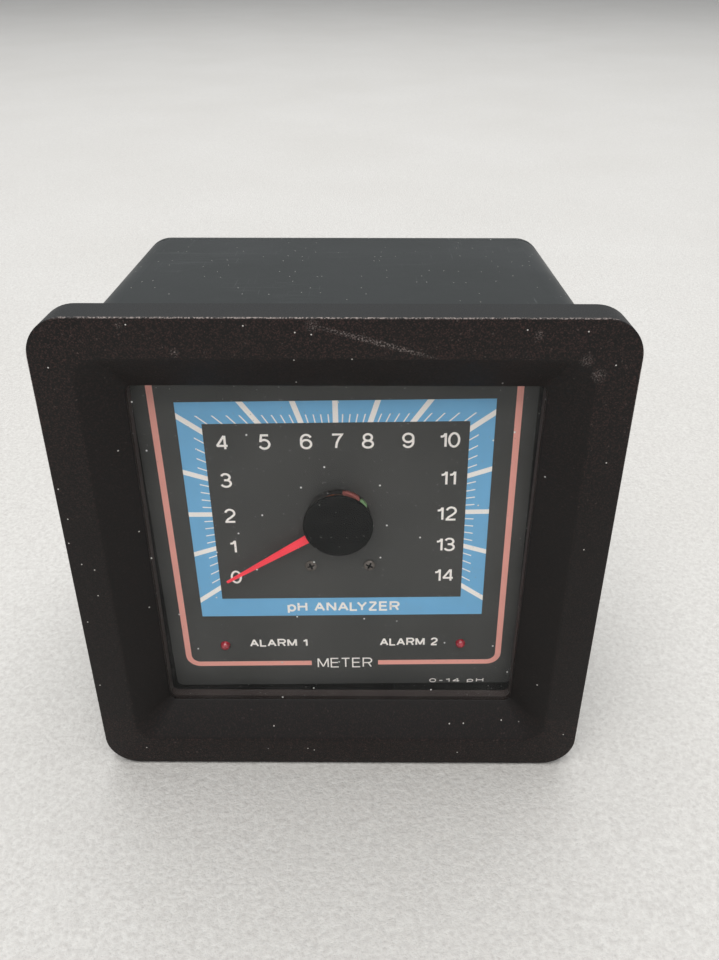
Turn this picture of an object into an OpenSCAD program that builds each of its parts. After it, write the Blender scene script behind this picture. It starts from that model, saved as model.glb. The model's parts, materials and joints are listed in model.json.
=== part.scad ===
// Panel-mounted pH analyzer: a square moulded instrument with a moving-pointer dial and two
// alarm lamps. The dial faces -Y, +Z is up and +X is to the right of a person who reads it.
// The origin is the centre of the bezel's rear face, which seats on the front of the panel.

/* [Bezel] */
// Width and height of the square bezel
bezel_w = 144; // [143.6:0.1:145]
// Depth of the bezel in front of the panel
bezel_d = 10.5; // [10.4:0.1:12]
// Corner radius of the bezel's outline
bezel_r = 9.8; // [8:0.2:11]
// Width of the flat front rim
rim_w = 10; // [9:0.5:11]
// Clear width of the window aperture
aperture_w = 104.6; // [103:0.1:104.8]
// Depth of the sloped surround, measured from the front face
slope_d = 7; // [6.6:0.1:7]

/* [Window and dial] */
// Thickness of the clear window
window_t = 1.5; // [1:0.1:1.5]
// Width and height of the printed dial plate
dial_w = 105; // [100:0.5:106]
// Thickness of the dial plate
dial_t = 1.2; // [0.8:0.1:1.2]
// Distance from the panel face back to the dial plate
dial_y = 3.8; // [3.6:0.1:4]
// Turn of the dial and its movement about the pointer's axis, within the clearance of its screws
dial_turn = 0.9; // [0:0.1:1]
// Radius of the hole in the dial plate around the pointer hub
dial_hole_r = 9; // [8:0.1:9]

/* [Pointer] */
// Height of the pointer's axis above the centre of the dial
pivot_z = 9.6; // [8:0.2:11]
// Length of the pointer from its axis to its tip
pointer_len = 38.4; // [36:0.2:39]
// Angle of the resting pointer, counter-clockwise from +X
pointer_rest = 212.6; // [210:0.2:216]
// Radius of the disc that covers the pointer hub
hub_cap_r = 9.7; // [9:0.1:10]

/* [Case] */
// Outside width and height of the case
case_w = 132.6; // [132.4:0.1:134.2]
// Depth of the case behind the panel face, without its rear cover
case_d = 85.5; // [85.5:0.5:86.5]
// Corner radius of the case
case_r = 9; // [8.5:0.1:9.5]
// Wall thickness of the case
wall = 2.5; // [2.2:0.1:2.6]
// Thickness of the rear cover
cover_t = 2.5; // [2:0.1:3]
// Thickness of the gasket in the rear seam
gasket_t = 1; // [0.8:0.1:1]

/* [Rear connections] */
// Number of screw terminals in each block
terminals = 8; // [6:1:8]
// Distance between neighbouring terminals
terminal_pitch = 10; // [9:0.5:10]
// Distance of each terminal block above or below the centre
block_z = 42; // [40:0.5:43]
// Distance between neighbouring adjusters
adjuster_pitch = 28; // [24:1:30]

/* [Hidden] */
$fn = 64;

// Sizes that the pieces share
eps = 0.01;                    // overshoot of a cut past the face that it opens
fit = 0.05;                    // radial clearance of a screw in its hole
run_fit = 0.03;                // radial clearance of a shaft that turns

// Bezel, window and its retainer
bezel_front = -bezel_d;
slope_end = bezel_front + slope_d;
lip_t = 0.2;
window_y = slope_end + lip_t;
window_w = aperture_w + 3.6;
window_r = 3;
retainer_rear = 0.9;           // the retainer reaches into the case's front opening
aperture_r = 2;
funnel_w = bezel_w - 2 * rim_w;
funnel_r = 6;
rear_pocket_d = 2;             // the case's front end sits this deep in the bezel
rear_pocket_gap = 0.3;
bezel_screw_xz = 59.5;
screw_r = 1.25;                // M3 thread-forming screw, modelled at its core
screw_head_r = 2.6;
screw_head_t = 1.9;
clear_hole_r = 1.6;

// Case
case_front = -rear_pocket_d;
flange_t = 3;
flange_open_w = window_w + 0.8;
inner_w = case_w - 2 * wall;
inner_r = case_r - wall;
pillar_r = 3.2;
pillar_x = 59;
pillar_z = 30;
boss_r = 4.2;
boss_xz = 58.5;
boss_len = 11;
boss_reach = 8;                // how far a boss's webs run out into the walls
cover_y = case_d + gasket_t;
cover_rear = cover_y + cover_t;
clamp_y = 44;                  // side inserts for the panel clamps
clamp_hole_r = 1.65;
clamp_insert_r = 3;
clamp_insert_len = 6;
clamp_boss_r = 5;

// Dial and lamps
dial_r = 2;
dial_rear = dial_y + dial_t;
board_y = 12;
board_t = 1.6;
front_board_w = 124;
front_board_h = 108;
dial_spacer_xz = 47;
dial_spacer_r = 2.5;
dial_screw_x = 8.45;
dial_screw_z = pivot_z - 16.5;
dial_screw_head_r = 1.65;
dial_screw_r = 0.95;
lamp_x = 36;
lamp_z = -36.4;
lamp_r = 1.5;
lamp_tip_y = 2.3;
lamp_flange_y = 7;
lamp_flange_t = 1;
lamp_gap = 0.1;
lamp_sleeve_r = 2;
lamp_bore_r = 1.3;
lamp_lead_r = 0.25;
lamp_lead_x = 0.8;

// Movement, from front to rear along the pointer's axis
spindle_r = 0.5;
spindle_front = -0.6;
spindle_rear = 18.95;
cap_t = 0.8;
hub_r = 2.6;
hub_rear = 2.6;
pointer_y = 0.9;
pointer_t = 0.4;
pointer_root_w = 3.2;
pointer_tip_w = 0.65;
tail_r = 6.4;
tail_w = 5.6;
weight_r = 1.9;
weight_t = 1.5;
frame_t = 1.8;
frame_hole_r = 6.8;
frame_rear = dial_rear + frame_t;
frame_w = 40;
frame_h = 50;
frame_leg_r = 2;
frame_corner_r = 3;
stop_arm_y = 5.3;
stop_arm_t = 1.2;
stop_arm_r = 6.2;
stop_arm_w = 1.6;
stop_collar_r = 1.6;
stop_lug_r = 5;
stop_lug_from = 228;
stop_lug_to = 309;
bobbin_r = 11;
bobbin_front_y = 9.5;
bobbin_split_y = 14.5;
bobbin_rear_y = 19.5;
bobbin_wall = 1.5;
bobbin_cavity_r = 7;
magnet_r = 6.3;
magnet_front = 12.2;
magnet_rear = 16.8;
bearing_r = 1.6;
coil_t = 1;
coil_gap_half = 1.2;           // half the slot in a coil where the spindle passes
coil_w = 3;
can_r = 14;
can_t = 0.6;
can_rear = bobbin_rear_y + 2 * coil_t + 0.1 + can_t;
lead_r = 0.42;
lead_sleeve_r = 0.52;
red_lead_ring = 7.7;
green_lead_ring = 8.1;
lead_y = 4.45;
lead_tail = 0.55;

// Main board and what it carries
main_board_y = 72;
main_board_w = 118;
main_board_rear = main_board_y + board_t;
standoff_xz = 50;
standoff_r = 3.175;
transformer_x = -30;
transformer_z = -28;
core_w = 45;
core_d = 37.5;
core_stack = 20;
core_rear = main_board_y - 1.5;
core_front = core_rear - core_d;
core_leg = 15;
core_window_w = 7.5;
core_window_d = 22.5;
core_window_y = core_front + 7.5;
relay_x = 30;
relay_w = 29;
relay_h = 12.7;
relay_d = 25;
relay_z1 = -38;
relay_z2 = -18;
capacitor_r = 8;
capacitor_d = 30;
capacitor_xs = [-8, 12];
capacitor_z = 36;
sink_x = 40;
sink_z = 36;
chip_xs = [-34, -8, 18];
chip_z = 8;
ribbon_x = -52;
ribbon_w = 16;
ribbon_t = 1;
header_d = 6;

// Terminal blocks and adjusters
block_w = terminals * terminal_pitch + 6;
block_h = 17;
block_base = 4;
block_d = 10;
barrier_t = 1.6;
plate_y = cover_rear + block_base;
plate_t = 0.8;
terminal_head_r = 2.9;
terminal_screw_r = 1.4;
pin_w = 2.4;
pin_z = 5.5;
pot_r = 8;
pot_d = 8.5;
bush_r = 3.5;
bush_len = 4.5;
shaft_r = 2.4;
shaft_front = cover_y - pot_d + 2;
shaft_rear = cover_rear + bush_len + 2;
shaft_slot_w = 0.9;
shaft_slot_d = 1.2;
nut_af_r = 5.8;
nut_t = 2;

// A flat outline, drawn with x to the right and y up, made solid from y0 to y1
module along_y(y0, y1) {
    translate([0, y1, 0])
        rotate([90, 0, 0])
            linear_extrude(y1 - y0)
                children();
}

// A round bar parallel to the Y axis, through x and z, from y0 to y1
module rod_y(r, y0, y1, x = 0, z = 0) {
    translate([x, y0, z])
        rotate([-90, 0, 0])
            cylinder(h = y1 - y0, r = r);
}

// A solid of revolution about a line parallel to Y; the outline's points are [radius, y]
module turned_y(outline, x = 0, z = 0) {
    translate([x, 0, z])
        rotate([-90, 0, 0])
            rotate_extrude()
                polygon(outline);
}

// A box from its lowest to its highest corner
module block(low, high) {
    translate(low)
        cube(high - low);
}

// A rectangle about the origin with round corners
module round_rect(w, h, r) {
    square([w - 2 * r, h], center = true);
    square([w, h - 2 * r], center = true);
    for (x = [-1, 1], z = [-1, 1])
        translate([x * (w / 2 - r), z * (h / 2 - r)])
            circle(r = r);
}

// Four mirrored copies at the corners of a rectangle about the Y axis
module at_corners(x, z) {
    for (i = [0, 1], k = [0, 1])
        mirror([i, 0, 0])
            mirror([0, 0, k])
                translate([x, 0, z])
                    children();
}

// The sector of a ring between two angles, for angles less than 180 degrees apart
module ring_sector(r_in, r_out, a0, a1) {
    reach = r_out * 2;
    intersection() {
        difference() {
            circle(r = r_out);
            circle(r = r_in);
        }
        polygon([[0, 0], reach * [cos(a0), sin(a0)],
            reach * [cos((a0 + a1) / 2), sin((a0 + a1) / 2)],
            reach * [cos(a1), sin(a1)]]);
    }
}

// A pan-head screw whose head stands on the plane y = seat and whose shank runs towards way
module pan_screw(seat, way, len, head_r = screw_head_r, shank_r = screw_r) {
    head_end = seat - way * screw_head_t;
    slot_d = 0.9;
    difference() {
        union() {
            rod_y(head_r, min(seat, head_end), max(seat, head_end));
            rod_y(shank_r, min(seat, seat + way * len), max(seat, seat + way * len));
        }
        for (turn = [0, 90])
            rotate([0, turn, 0])
                translate([0, head_end + way * slot_d / 2 - way * eps, 0])
                    cube([head_r * 1.2, slot_d, 0.7], center = true);
    }
}

// ---- Front: bezel, window, dial ----

// Square moulded bezel with a sloped surround, pockets for the window and the case behind
module bezel() {
    color([0.14, 0.12, 0.11])
        difference() {
            along_y(bezel_front, 0)
                round_rect(bezel_w, bezel_w, bezel_r);
            hull() {
                along_y(bezel_front - eps, bezel_front)
                    round_rect(funnel_w, funnel_w, funnel_r, $fn = 32);
                along_y(slope_end, slope_end + eps)
                    round_rect(aperture_w, aperture_w, aperture_r, $fn = 32);
            }
            along_y(bezel_front, eps)
                round_rect(aperture_w, aperture_w, aperture_r);
            along_y(window_y, eps)
                round_rect(window_w, window_w, window_r);
            along_y(case_front, eps)
                round_rect(case_w + 2 * rear_pocket_gap, case_w + 2 * rear_pocket_gap,
                    case_r + rear_pocket_gap);
            at_corners(bezel_screw_xz, bezel_screw_xz)
                rod_y(screw_r + fit, case_front - 5.5, 0);
        }
}

// Clear window behind the lip of the bezel
module window_pane() {
    color([0.85, 0.88, 0.9, 0.35])
        along_y(window_y, window_y + window_t)
            round_rect(window_w - 0.4, window_w - 0.4, window_r - 0.2);
}

// Frame that holds the window against the lip
module window_retainer() {
    color([0.06, 0.06, 0.06])
        along_y(window_y + window_t, retainer_rear)
            difference() {
                round_rect(window_w - 0.2, window_w - 0.2, window_r - 0.1);
                round_rect(aperture_w, aperture_w, aperture_r);
            }
}

// Screws from inside the case into the bezel
module bezel_screws() {
    color("silver")
        at_corners(bezel_screw_xz, bezel_screw_xz)
            translate([0, case_front + flange_t, 0])
                pan_screw(0, -1, flange_t + 5);
}

// Turns whatever sits on the dial about the pointer's axis
module turned_with_dial() {
    translate([0, 0, pivot_z])
        rotate([0, -dial_turn, 0])
            translate([0, 0, -pivot_z])
                children();
}

// Printed plate with holes for the hub, the lamps and its two screws
module dial_plate() {
    color([0.27, 0.27, 0.26])
        turned_with_dial()
            along_y(dial_y, dial_rear)
                difference() {
                    round_rect(dial_w, dial_w, dial_r);
                    translate([0, pivot_z])
                        circle(r = dial_hole_r);
                    for (side = [-1, 1]) {
                        translate([side * lamp_x, lamp_z])
                            circle(r = lamp_r + lamp_gap);
                        translate([side * dial_screw_x, dial_screw_z])
                            circle(r = dial_screw_r + fit);
                    }
                }
}

// Two small cross-head screws that hold the dial plate to the movement
module dial_screws() {
    head_t = 0.7;
    slot_w = 0.5;
    color([0.2, 0.2, 0.2])
        turned_with_dial()
            for (side = [-1, 1])
                translate([side * dial_screw_x, 0, dial_screw_z])
                    difference() {
                        union() {
                            rod_y(dial_screw_head_r, dial_y - head_t, dial_y);
                            rod_y(dial_screw_r, dial_y, frame_rear);
                        }
                        for (turn = [0, 90])
                            rotate([0, turn, 0])
                                translate([0, dial_y - head_t, 0])
                                    cube([2.2, 0.8, slot_w], center = true);
                    }
}

// Pillars between the corners of the dial plate and the front board
module dial_spacers() {
    color("ivory")
        turned_with_dial()
            at_corners(dial_spacer_xz, dial_spacer_xz)
                rod_y(dial_spacer_r, dial_rear, board_y);
}

// Domed 3 mm lamp with its base flange and two leads
module alarm_lamp(x) {
    color([0.65, 0.08, 0.1])
        turned_with_dial()
            translate([x, 0, lamp_z])
                union() {
                    translate([0, lamp_tip_y + lamp_r, 0])
                        sphere(r = lamp_r);
                    rod_y(lamp_r, lamp_tip_y + lamp_r, lamp_flange_y);
                    rod_y(lamp_r + 0.4, lamp_flange_y, lamp_flange_y + lamp_flange_t);
                    for (side = [-1, 1])
                        translate([side * lamp_lead_x, 0, 0])
                            rod_y(lamp_lead_r, lamp_flange_y + lamp_flange_t, board_y + board_t + 1);
                }
}

module alarm_lamp_1() {
    alarm_lamp(-lamp_x);
}

module alarm_lamp_2() {
    alarm_lamp(lamp_x);
}

// Sleeves that hold the lamps off the front board
module lamp_spacers() {
    color("white")
        turned_with_dial()
            for (side = [-1, 1])
                translate([side * lamp_x, 0, lamp_z])
                    difference() {
                        rod_y(lamp_sleeve_r, lamp_flange_y + lamp_flange_t, board_y);
                        rod_y(lamp_bore_r, lamp_flange_y + 0.5, board_y + 0.5);
                    }
}

// ---- Pointer and movement ----

// Tapered pointer with a short balanced tail, turned to where it rests
module pointer() {
    color([0.95, 0.25, 0.32])
        translate([0, 0, pivot_z])
            along_y(pointer_y, pointer_y + pointer_t)
                rotate(pointer_rest)
                    difference() {
                        union() {
                            circle(r = hub_r + 1.4);
                            polygon([[0, -pointer_root_w / 2],
                                [pointer_len, -pointer_tip_w / 2],
                                [pointer_len, pointer_tip_w / 2],
                                [0, pointer_root_w / 2]]);
                            translate([-tail_r - 2, -tail_w / 2])
                                square([tail_r, tail_w]);
                        }
                        circle(r = hub_r);
                    }
}

// Brass hub on the front end of the spindle
module pointer_hub() {
    color("goldenrod")
        difference() {
            rod_y(hub_r, spindle_front, hub_rear, 0, pivot_z);
            rod_y(spindle_r, spindle_front - eps, hub_rear + eps, 0, pivot_z);
        }
}

// Black disc that hides the hub
module hub_cap() {
    color([0.12, 0.13, 0.13])
        rod_y(hub_cap_r, spindle_front - cap_t, spindle_front, 0, pivot_z);
}

// Brass weight behind the pointer's tail
module pointer_counterweight() {
    color("goldenrod")
        translate([0, 0, pivot_z])
            rotate([0, -pointer_rest, 0])
                rod_y(weight_r, pointer_y + pointer_t, pointer_y + pointer_t + weight_t, -tail_r);
}

// Steel spindle that carries the hub, the stop arm and the magnet
module spindle() {
    color("silver")
        rod_y(spindle_r, spindle_front, spindle_rear, 0, pivot_z);
}

// Arm on the spindle that meets the stop lug at each end of the travel
module stop_arm() {
    color("silver")
        translate([0, 0, pivot_z])
            along_y(stop_arm_y, stop_arm_y + stop_arm_t)
                rotate(pointer_rest)
                    difference() {
                        union() {
                            circle(r = stop_collar_r);
                            translate([0, -stop_arm_w / 2])
                                square([stop_arm_r, stop_arm_w]);
                        }
                        circle(r = spindle_r);
                    }
}

// Disc magnet that follows the field of the two coils
module rotor_magnet() {
    color([0.3, 0.3, 0.32])
        difference() {
            rod_y(magnet_r, magnet_front, magnet_rear, 0, pivot_z);
            rod_y(spindle_r, magnet_front - eps, magnet_rear + eps, 0, pivot_z);
        }
}

// Plate behind the dial that carries the movement, with the stop lug in its hole and four legs
module movement_frame() {
    color([0.7, 0.71, 0.72])
        turned_with_dial() {
            translate([0, 0, pivot_z])
                along_y(dial_rear, frame_rear) {
                    difference() {
                        round_rect(frame_w, frame_h, frame_corner_r);
                        circle(r = frame_hole_r);
                        for (side = [-1, 1])
                            translate([side * dial_screw_x, dial_screw_z - pivot_z])
                                circle(r = dial_screw_r + fit);
                    }
                    ring_sector(stop_lug_r, frame_hole_r + 1, stop_lug_from, stop_lug_to);
                }
            translate([0, 0, pivot_z])
                at_corners(frame_w / 2 - frame_corner_r, frame_h / 2 - frame_corner_r)
                    rod_y(frame_leg_r, frame_rear - eps, board_y);
        }
}

// Half of the coil bobbin, hollow for the magnet, with a seat for a bearing
module bobbin_half(y0, y1, wall_y0, wall_y1) {
    color([0.92, 0.9, 0.82])
        difference() {
            rod_y(bobbin_r, y0, y1, 0, pivot_z);
            rod_y(bobbin_cavity_r, wall_y0, wall_y1, 0, pivot_z);
            rod_y(bearing_r, y0 - eps, y1 + eps, 0, pivot_z);
        }
}

module front_bobbin() {
    bobbin_half(bobbin_front_y, bobbin_split_y, bobbin_front_y + bobbin_wall, bobbin_split_y + eps);
}

module rear_bobbin() {
    bobbin_half(bobbin_split_y, bobbin_rear_y, bobbin_split_y - eps, bobbin_rear_y - bobbin_wall);
}

// One coil: two windings side by side, so that the spindle passes between them.
// shell counts how many coil thicknesses lie between it and the bobbin.
module coil(shell, turn) {
    inner = shell * coil_t;
    outer = inner + coil_t;
    side = bobbin_r + 0.1;
    color([0.72, 0.36, 0.16])
        translate([0, 0, pivot_z])
            rotate([0, turn, 0])
                for (k = [-1, 1])
                    translate([0, 0, k * (coil_gap_half + coil_w / 2) - coil_w / 2])
                        difference() {
                            block([-side - coil_t, bobbin_front_y - outer, 0],
                                [side + coil_t, bobbin_rear_y + outer, coil_w]);
                            block([-side, bobbin_front_y - inner, -eps],
                                [side, bobbin_rear_y + inner, coil_w + eps]);
                        }
}

module sine_coil() {
    coil(0, 0);
}

module cosine_coil() {
    coil(1, 90);
}

// Bearing bush; the rear one is blind and takes the spindle's end thrust
module front_bearing() {
    color([0.8, 0.2, 0.3])
        difference() {
            rod_y(bearing_r, bobbin_front_y, bobbin_front_y + bobbin_wall, 0, pivot_z);
            rod_y(spindle_r + run_fit, 0, bobbin_split_y, 0, pivot_z);
        }
}

module rear_bearing() {
    color([0.8, 0.2, 0.3])
        difference() {
            rod_y(bearing_r, bobbin_rear_y - bobbin_wall, bobbin_rear_y, 0, pivot_z);
            rod_y(spindle_r + run_fit, bobbin_split_y, spindle_rear + run_fit, 0, pivot_z);
        }
}

// Pressed steel can that shields the movement
module shield_can() {
    color([0.75, 0.76, 0.77])
        difference() {
            rod_y(can_r, frame_rear, can_rear, 0, pivot_z);
            rod_y(can_r - can_t, frame_rear - eps, can_rear - can_t, 0, pivot_z);
        }
}

// Insulated coil lead that crosses the hub opening on an arc, with a sleeve back to the movement
// frame at each end
module coil_lead(ring, a0, a1) {
    translate([0, 0, pivot_z]) {
        translate([0, lead_y, 0])
            rotate([90, 0, 0])
                rotate([0, 0, a0])
                    rotate_extrude(angle = a1 - a0)
                        translate([ring, 0])
                            circle(r = lead_r);
        for (a = [a0, a1])
            translate([ring * cos(a), 0, ring * sin(a)])
                rod_y(lead_sleeve_r, lead_y - lead_sleeve_r, lead_y + lead_tail);
    }
}

module red_coil_lead() {
    color("firebrick")
        coil_lead(red_lead_ring, 46, 78);
}

module green_coil_lead() {
    color("seagreen")
        coil_lead(green_lead_ring, 24, 37);
}

// Board behind the dial that carries the lamps and lets the movement through
module front_board() {
    color([0.15, 0.35, 0.2])
        along_y(board_y, board_y + board_t)
            difference() {
                round_rect(front_board_w, front_board_h, 3);
                translate([0, pivot_z])
                    circle(r = can_r + 0.6);
                for (x = [-1, 1], z = [-1, 1])
                    translate([x * pillar_x, z * pillar_z])
                        circle(r = clear_hole_r);
                for (x = [-1, 1], lead = [-1, 1])
                    translate([0, pivot_z])
                        rotate(dial_turn)
                            translate([x * lamp_x + lead * lamp_lead_x, lamp_z - pivot_z])
                                circle(r = 0.4);
            }
}

// Screws that hold the front board to the case and the main board to its standoffs
module board_screws() {
    color("silver") {
        at_corners(pillar_x, pillar_z)
            translate([0, board_y + board_t, 0])
                pan_screw(0, -1, 7);
        at_corners(standoff_xz, standoff_xz)
            translate([0, main_board_y, 0])
                pan_screw(0, 1, 7);
    }
}

// ---- Case and rear cover ----

// Moulded square case with a front flange, board pillars and bosses for the rear cover
module case() {
    color([0.29, 0.3, 0.3])
        difference() {
            union() {
                along_y(case_front, case_d)
                    difference() {
                        round_rect(case_w, case_w, case_r);
                        round_rect(inner_w, inner_w, inner_r);
                    }
                along_y(case_front, case_front + flange_t)
                    difference() {
                        round_rect(inner_w + 1, inner_w + 1, inner_r);
                        round_rect(flange_open_w, flange_open_w, window_r);
                    }
                at_corners(pillar_x, pillar_z)
                    rod_y(pillar_r, case_front + flange_t - eps, board_y);
                intersection() {
                    along_y(case_d - boss_len, case_d)
                        round_rect(inner_w + 1, inner_w + 1, inner_r);
                    at_corners(boss_xz, boss_xz)
                        union() {
                            rod_y(boss_r, case_d - boss_len, case_d);
                            block([0, case_d - boss_len, -boss_r], [boss_reach, case_d, boss_r]);
                            block([-boss_r, case_d - boss_len, 0], [boss_r, case_d, boss_reach]);
                        }
                }
                for (side = [-1, 1])
                    translate([side * (inner_w / 2 + eps), clamp_y, 0])
                        rotate([0, -side * 90, 0])
                            cylinder(h = clamp_insert_len - wall + 1.5, r = clamp_boss_r);
            }
            at_corners(bezel_screw_xz, bezel_screw_xz)
                rod_y(clear_hole_r, case_front - eps, case_front + flange_t + eps);
            at_corners(pillar_x, pillar_z)
                rod_y(screw_r + fit, board_y - 6.5, board_y + eps);
            at_corners(boss_xz, boss_xz)
                rod_y(screw_r + fit, case_d - boss_len + 1.5, case_d + eps);
            for (side = [-1, 1])
                translate([side * (case_w / 2 + eps), clamp_y, 0])
                    rotate([0, -side * 90, 0])
                        cylinder(h = clamp_insert_len + eps, r = clamp_insert_r);
        }
}

// Brass threaded inserts in the sides, for the clamps that pull the bezel onto the panel
module clamp_inserts() {
    color("goldenrod")
        for (side = [-1, 1])
            translate([side * case_w / 2, clamp_y, 0])
                rotate([0, -side * 90, 0])
                    difference() {
                        cylinder(h = clamp_insert_len, r = clamp_insert_r);
                        translate([0, 0, -eps])
                            cylinder(h = clamp_insert_len + 2 * eps, r = clamp_hole_r);
                    }
}

// Rubber seal between the case and its rear cover, set back from the outside
module seam_gasket() {
    setback = 1;
    color([0.05, 0.05, 0.05])
        along_y(case_d, cover_y)
            difference() {
                round_rect(case_w - 2 * setback, case_w - 2 * setback, case_r - setback);
                round_rect(inner_w, inner_w, inner_r);
            }
}

// Rear cover with holes for its screws, the adjusters, the terminal pins and the standoffs
module rear_cover() {
    color([0.27, 0.28, 0.28])
        along_y(cover_y, cover_rear)
            difference() {
                round_rect(case_w, case_w, case_r);
                for (x = [-1, 1], z = [-1, 1]) {
                    translate([x * boss_xz, z * boss_xz])
                        circle(r = clear_hole_r);
                    translate([x * standoff_xz, z * standoff_xz])
                        circle(r = clear_hole_r);
                }
                for (i = [0 : 3])
                    translate([adjuster_x(i), 0])
                        circle(r = bush_r + fit);
                for (way = [-1, 1], i = [0 : terminals - 1])
                    translate([terminal_x(i), way * (block_z - pin_z)])
                        square([pin_w + 0.6, 1.4], center = true);
            }
}

// Screws of the rear cover, and those that hold the standoffs to it
module rear_cover_screws() {
    color("silver") {
        at_corners(boss_xz, boss_xz)
            translate([0, cover_rear, 0])
                pan_screw(0, -1, 11);
        at_corners(standoff_xz, standoff_xz)
            translate([0, cover_rear, 0])
                pan_screw(0, -1, 7, 2.3);
    }
}

// ---- Terminals and adjusters ----

function terminal_x(i) = (i - (terminals - 1) / 2) * terminal_pitch;

function adjuster_x(i) = (i - 1.5) * adjuster_pitch;

// Barrier block: a base strip with a wall on each side of every terminal
module terminal_block(way) {
    color([0.1, 0.1, 0.1])
        translate([0, 0, way * block_z])
            difference() {
                union() {
                    block([-block_w / 2, cover_rear, -block_h / 2],
                        [block_w / 2, cover_rear + block_base, block_h / 2]);
                    for (i = [0 : terminals])
                        translate([terminal_x(i) - terminal_pitch / 2, 0, 0])
                            block([-barrier_t / 2, cover_rear, -block_h / 2],
                                [barrier_t / 2, cover_rear + block_d, block_h / 2]);
                }
                for (i = [0 : terminals - 1]) {
                    rod_y(terminal_screw_r + fit, cover_rear + 1, plate_y + eps, terminal_x(i));
                    translate([terminal_x(i), cover_rear + block_base / 2, -way * pin_z])
                        cube([pin_w + 0.2, block_base + 2 * eps, 1], center = true);
                }
            }
}

module upper_terminal_block() {
    terminal_block(1);
}

module lower_terminal_block() {
    terminal_block(-1);
}

// Plated contact under each terminal screw, with a pin that runs to the main board
module terminal_plates() {
    plate_w = 7.2;
    plate_h = 12.4;
    color([0.8, 0.8, 0.76])
        for (way = [-1, 1], i = [0 : terminals - 1])
            translate([terminal_x(i), 0, way * block_z])
                difference() {
                    union() {
                        block([-plate_w / 2, plate_y, -plate_h / 2],
                            [plate_w / 2, plate_y + plate_t, plate_h / 2]);
                        translate([0, (main_board_rear + plate_y) / 2, -way * pin_z])
                            cube([pin_w, plate_y - main_board_rear + eps, plate_t], center = true);
                    }
                    rod_y(terminal_screw_r + fit, plate_y - eps, plate_y + plate_t + eps);
                }
}

// Terminal screws, one on each contact
module terminal_screws() {
    color("silver")
        for (way = [-1, 1], i = [0 : terminals - 1])
            translate([terminal_x(i), plate_y + plate_t, way * block_z])
                pan_screw(0, -1, 3.4, terminal_head_r, terminal_screw_r);
}

// Body and threaded bush of one adjuster, with its three solder pins
module pot(i) {
    pin_pitch = 4;
    pin_drop = 5;
    pin_r = 0.5;
    color([0.16, 0.25, 0.42])
        translate([adjuster_x(i), 0, 0])
            difference() {
                union() {
                    rod_y(pot_r, cover_y - pot_d, cover_y);
                    rod_y(bush_r, cover_y - eps, cover_rear + bush_len);
                    for (k = [-1, 0, 1])
                        translate([k * pin_pitch, 0, -pin_drop])
                            rod_y(pin_r, main_board_rear, cover_y - pot_d + eps);
                }
                rod_y(shaft_r + run_fit, shaft_front - 0.3, cover_rear + bush_len + eps);
            }
}

module standardize_pot() {
    pot(0);
}

module slope_pot() {
    pot(1);
}

module alarm_1_pot() {
    pot(2);
}

module alarm_2_pot() {
    pot(3);
}

// Screwdriver-slotted shaft of one adjuster
module shaft(i) {
    color([0.85, 0.84, 0.78])
        translate([adjuster_x(i), 0, 0])
            difference() {
                rod_y(shaft_r, shaft_front, shaft_rear);
                translate([0, shaft_rear, 0])
                    cube([2 * shaft_r + 1, 2 * shaft_slot_d, shaft_slot_w], center = true);
            }
}

module standardize_shaft() {
    shaft(0);
}

module slope_shaft() {
    shaft(1);
}

module alarm_1_shaft() {
    shaft(2);
}

module alarm_2_shaft() {
    shaft(3);
}

// Hexagon nuts that hold the adjusters to the rear cover
module adjuster_nuts() {
    color("silver")
        for (i = [0 : 3])
            translate([adjuster_x(i), 0, 0])
                along_y(cover_rear, cover_rear + nut_t)
                    difference() {
                        circle(r = nut_af_r, $fn = 6);
                        circle(r = bush_r + fit);
                    }
}

// ---- Electronics behind the dial ----

module main_board() {
    color([0.15, 0.35, 0.2])
        along_y(main_board_y, main_board_rear)
            difference() {
                round_rect(main_board_w, main_board_w, 4);
                for (x = [-1, 1], z = [-1, 1])
                    translate([x * standoff_xz, z * standoff_xz])
                        circle(r = clear_hole_r);
            }
}

// Hexagon standoffs between the main board and the rear cover
module board_standoffs() {
    color("silver")
        at_corners(standoff_xz, standoff_xz)
            along_y(main_board_rear, cover_y)
                difference() {
                    circle(r = standoff_r, $fn = 6);
                    circle(r = screw_r + fit);
                }
}

// Stack of E-shaped laminations with two windows
module transformer_core() {
    color([0.35, 0.36, 0.38])
        translate([transformer_x, 0, transformer_z])
            difference() {
                block([-core_w / 2, core_front, -core_stack / 2],
                    [core_w / 2, core_rear, core_stack / 2]);
                for (side = [-1, 1])
                    translate([side * (core_leg + core_window_w) / 2, core_window_y, 0])
                        block([-core_window_w / 2, 0, -core_stack],
                            [core_window_w / 2, core_window_d, core_stack]);
            }
}

// Taped winding round the middle leg of the core
module transformer_winding() {
    gap = 0.3;
    build_up = core_window_w - 2 * gap;
    color([0.85, 0.7, 0.25])
        translate([transformer_x, 0, transformer_z])
            difference() {
                block([-core_leg / 2 - gap - build_up, core_window_y + gap,
                        -core_stack / 2 - gap - build_up],
                    [core_leg / 2 + gap + build_up, core_window_y + core_window_d - gap,
                        core_stack / 2 + gap + build_up]);
                block([-core_leg / 2 - gap, core_window_y, -core_stack / 2 - gap],
                    [core_leg / 2 + gap, core_window_y + core_window_d, core_stack / 2 + gap]);
            }
}

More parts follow.
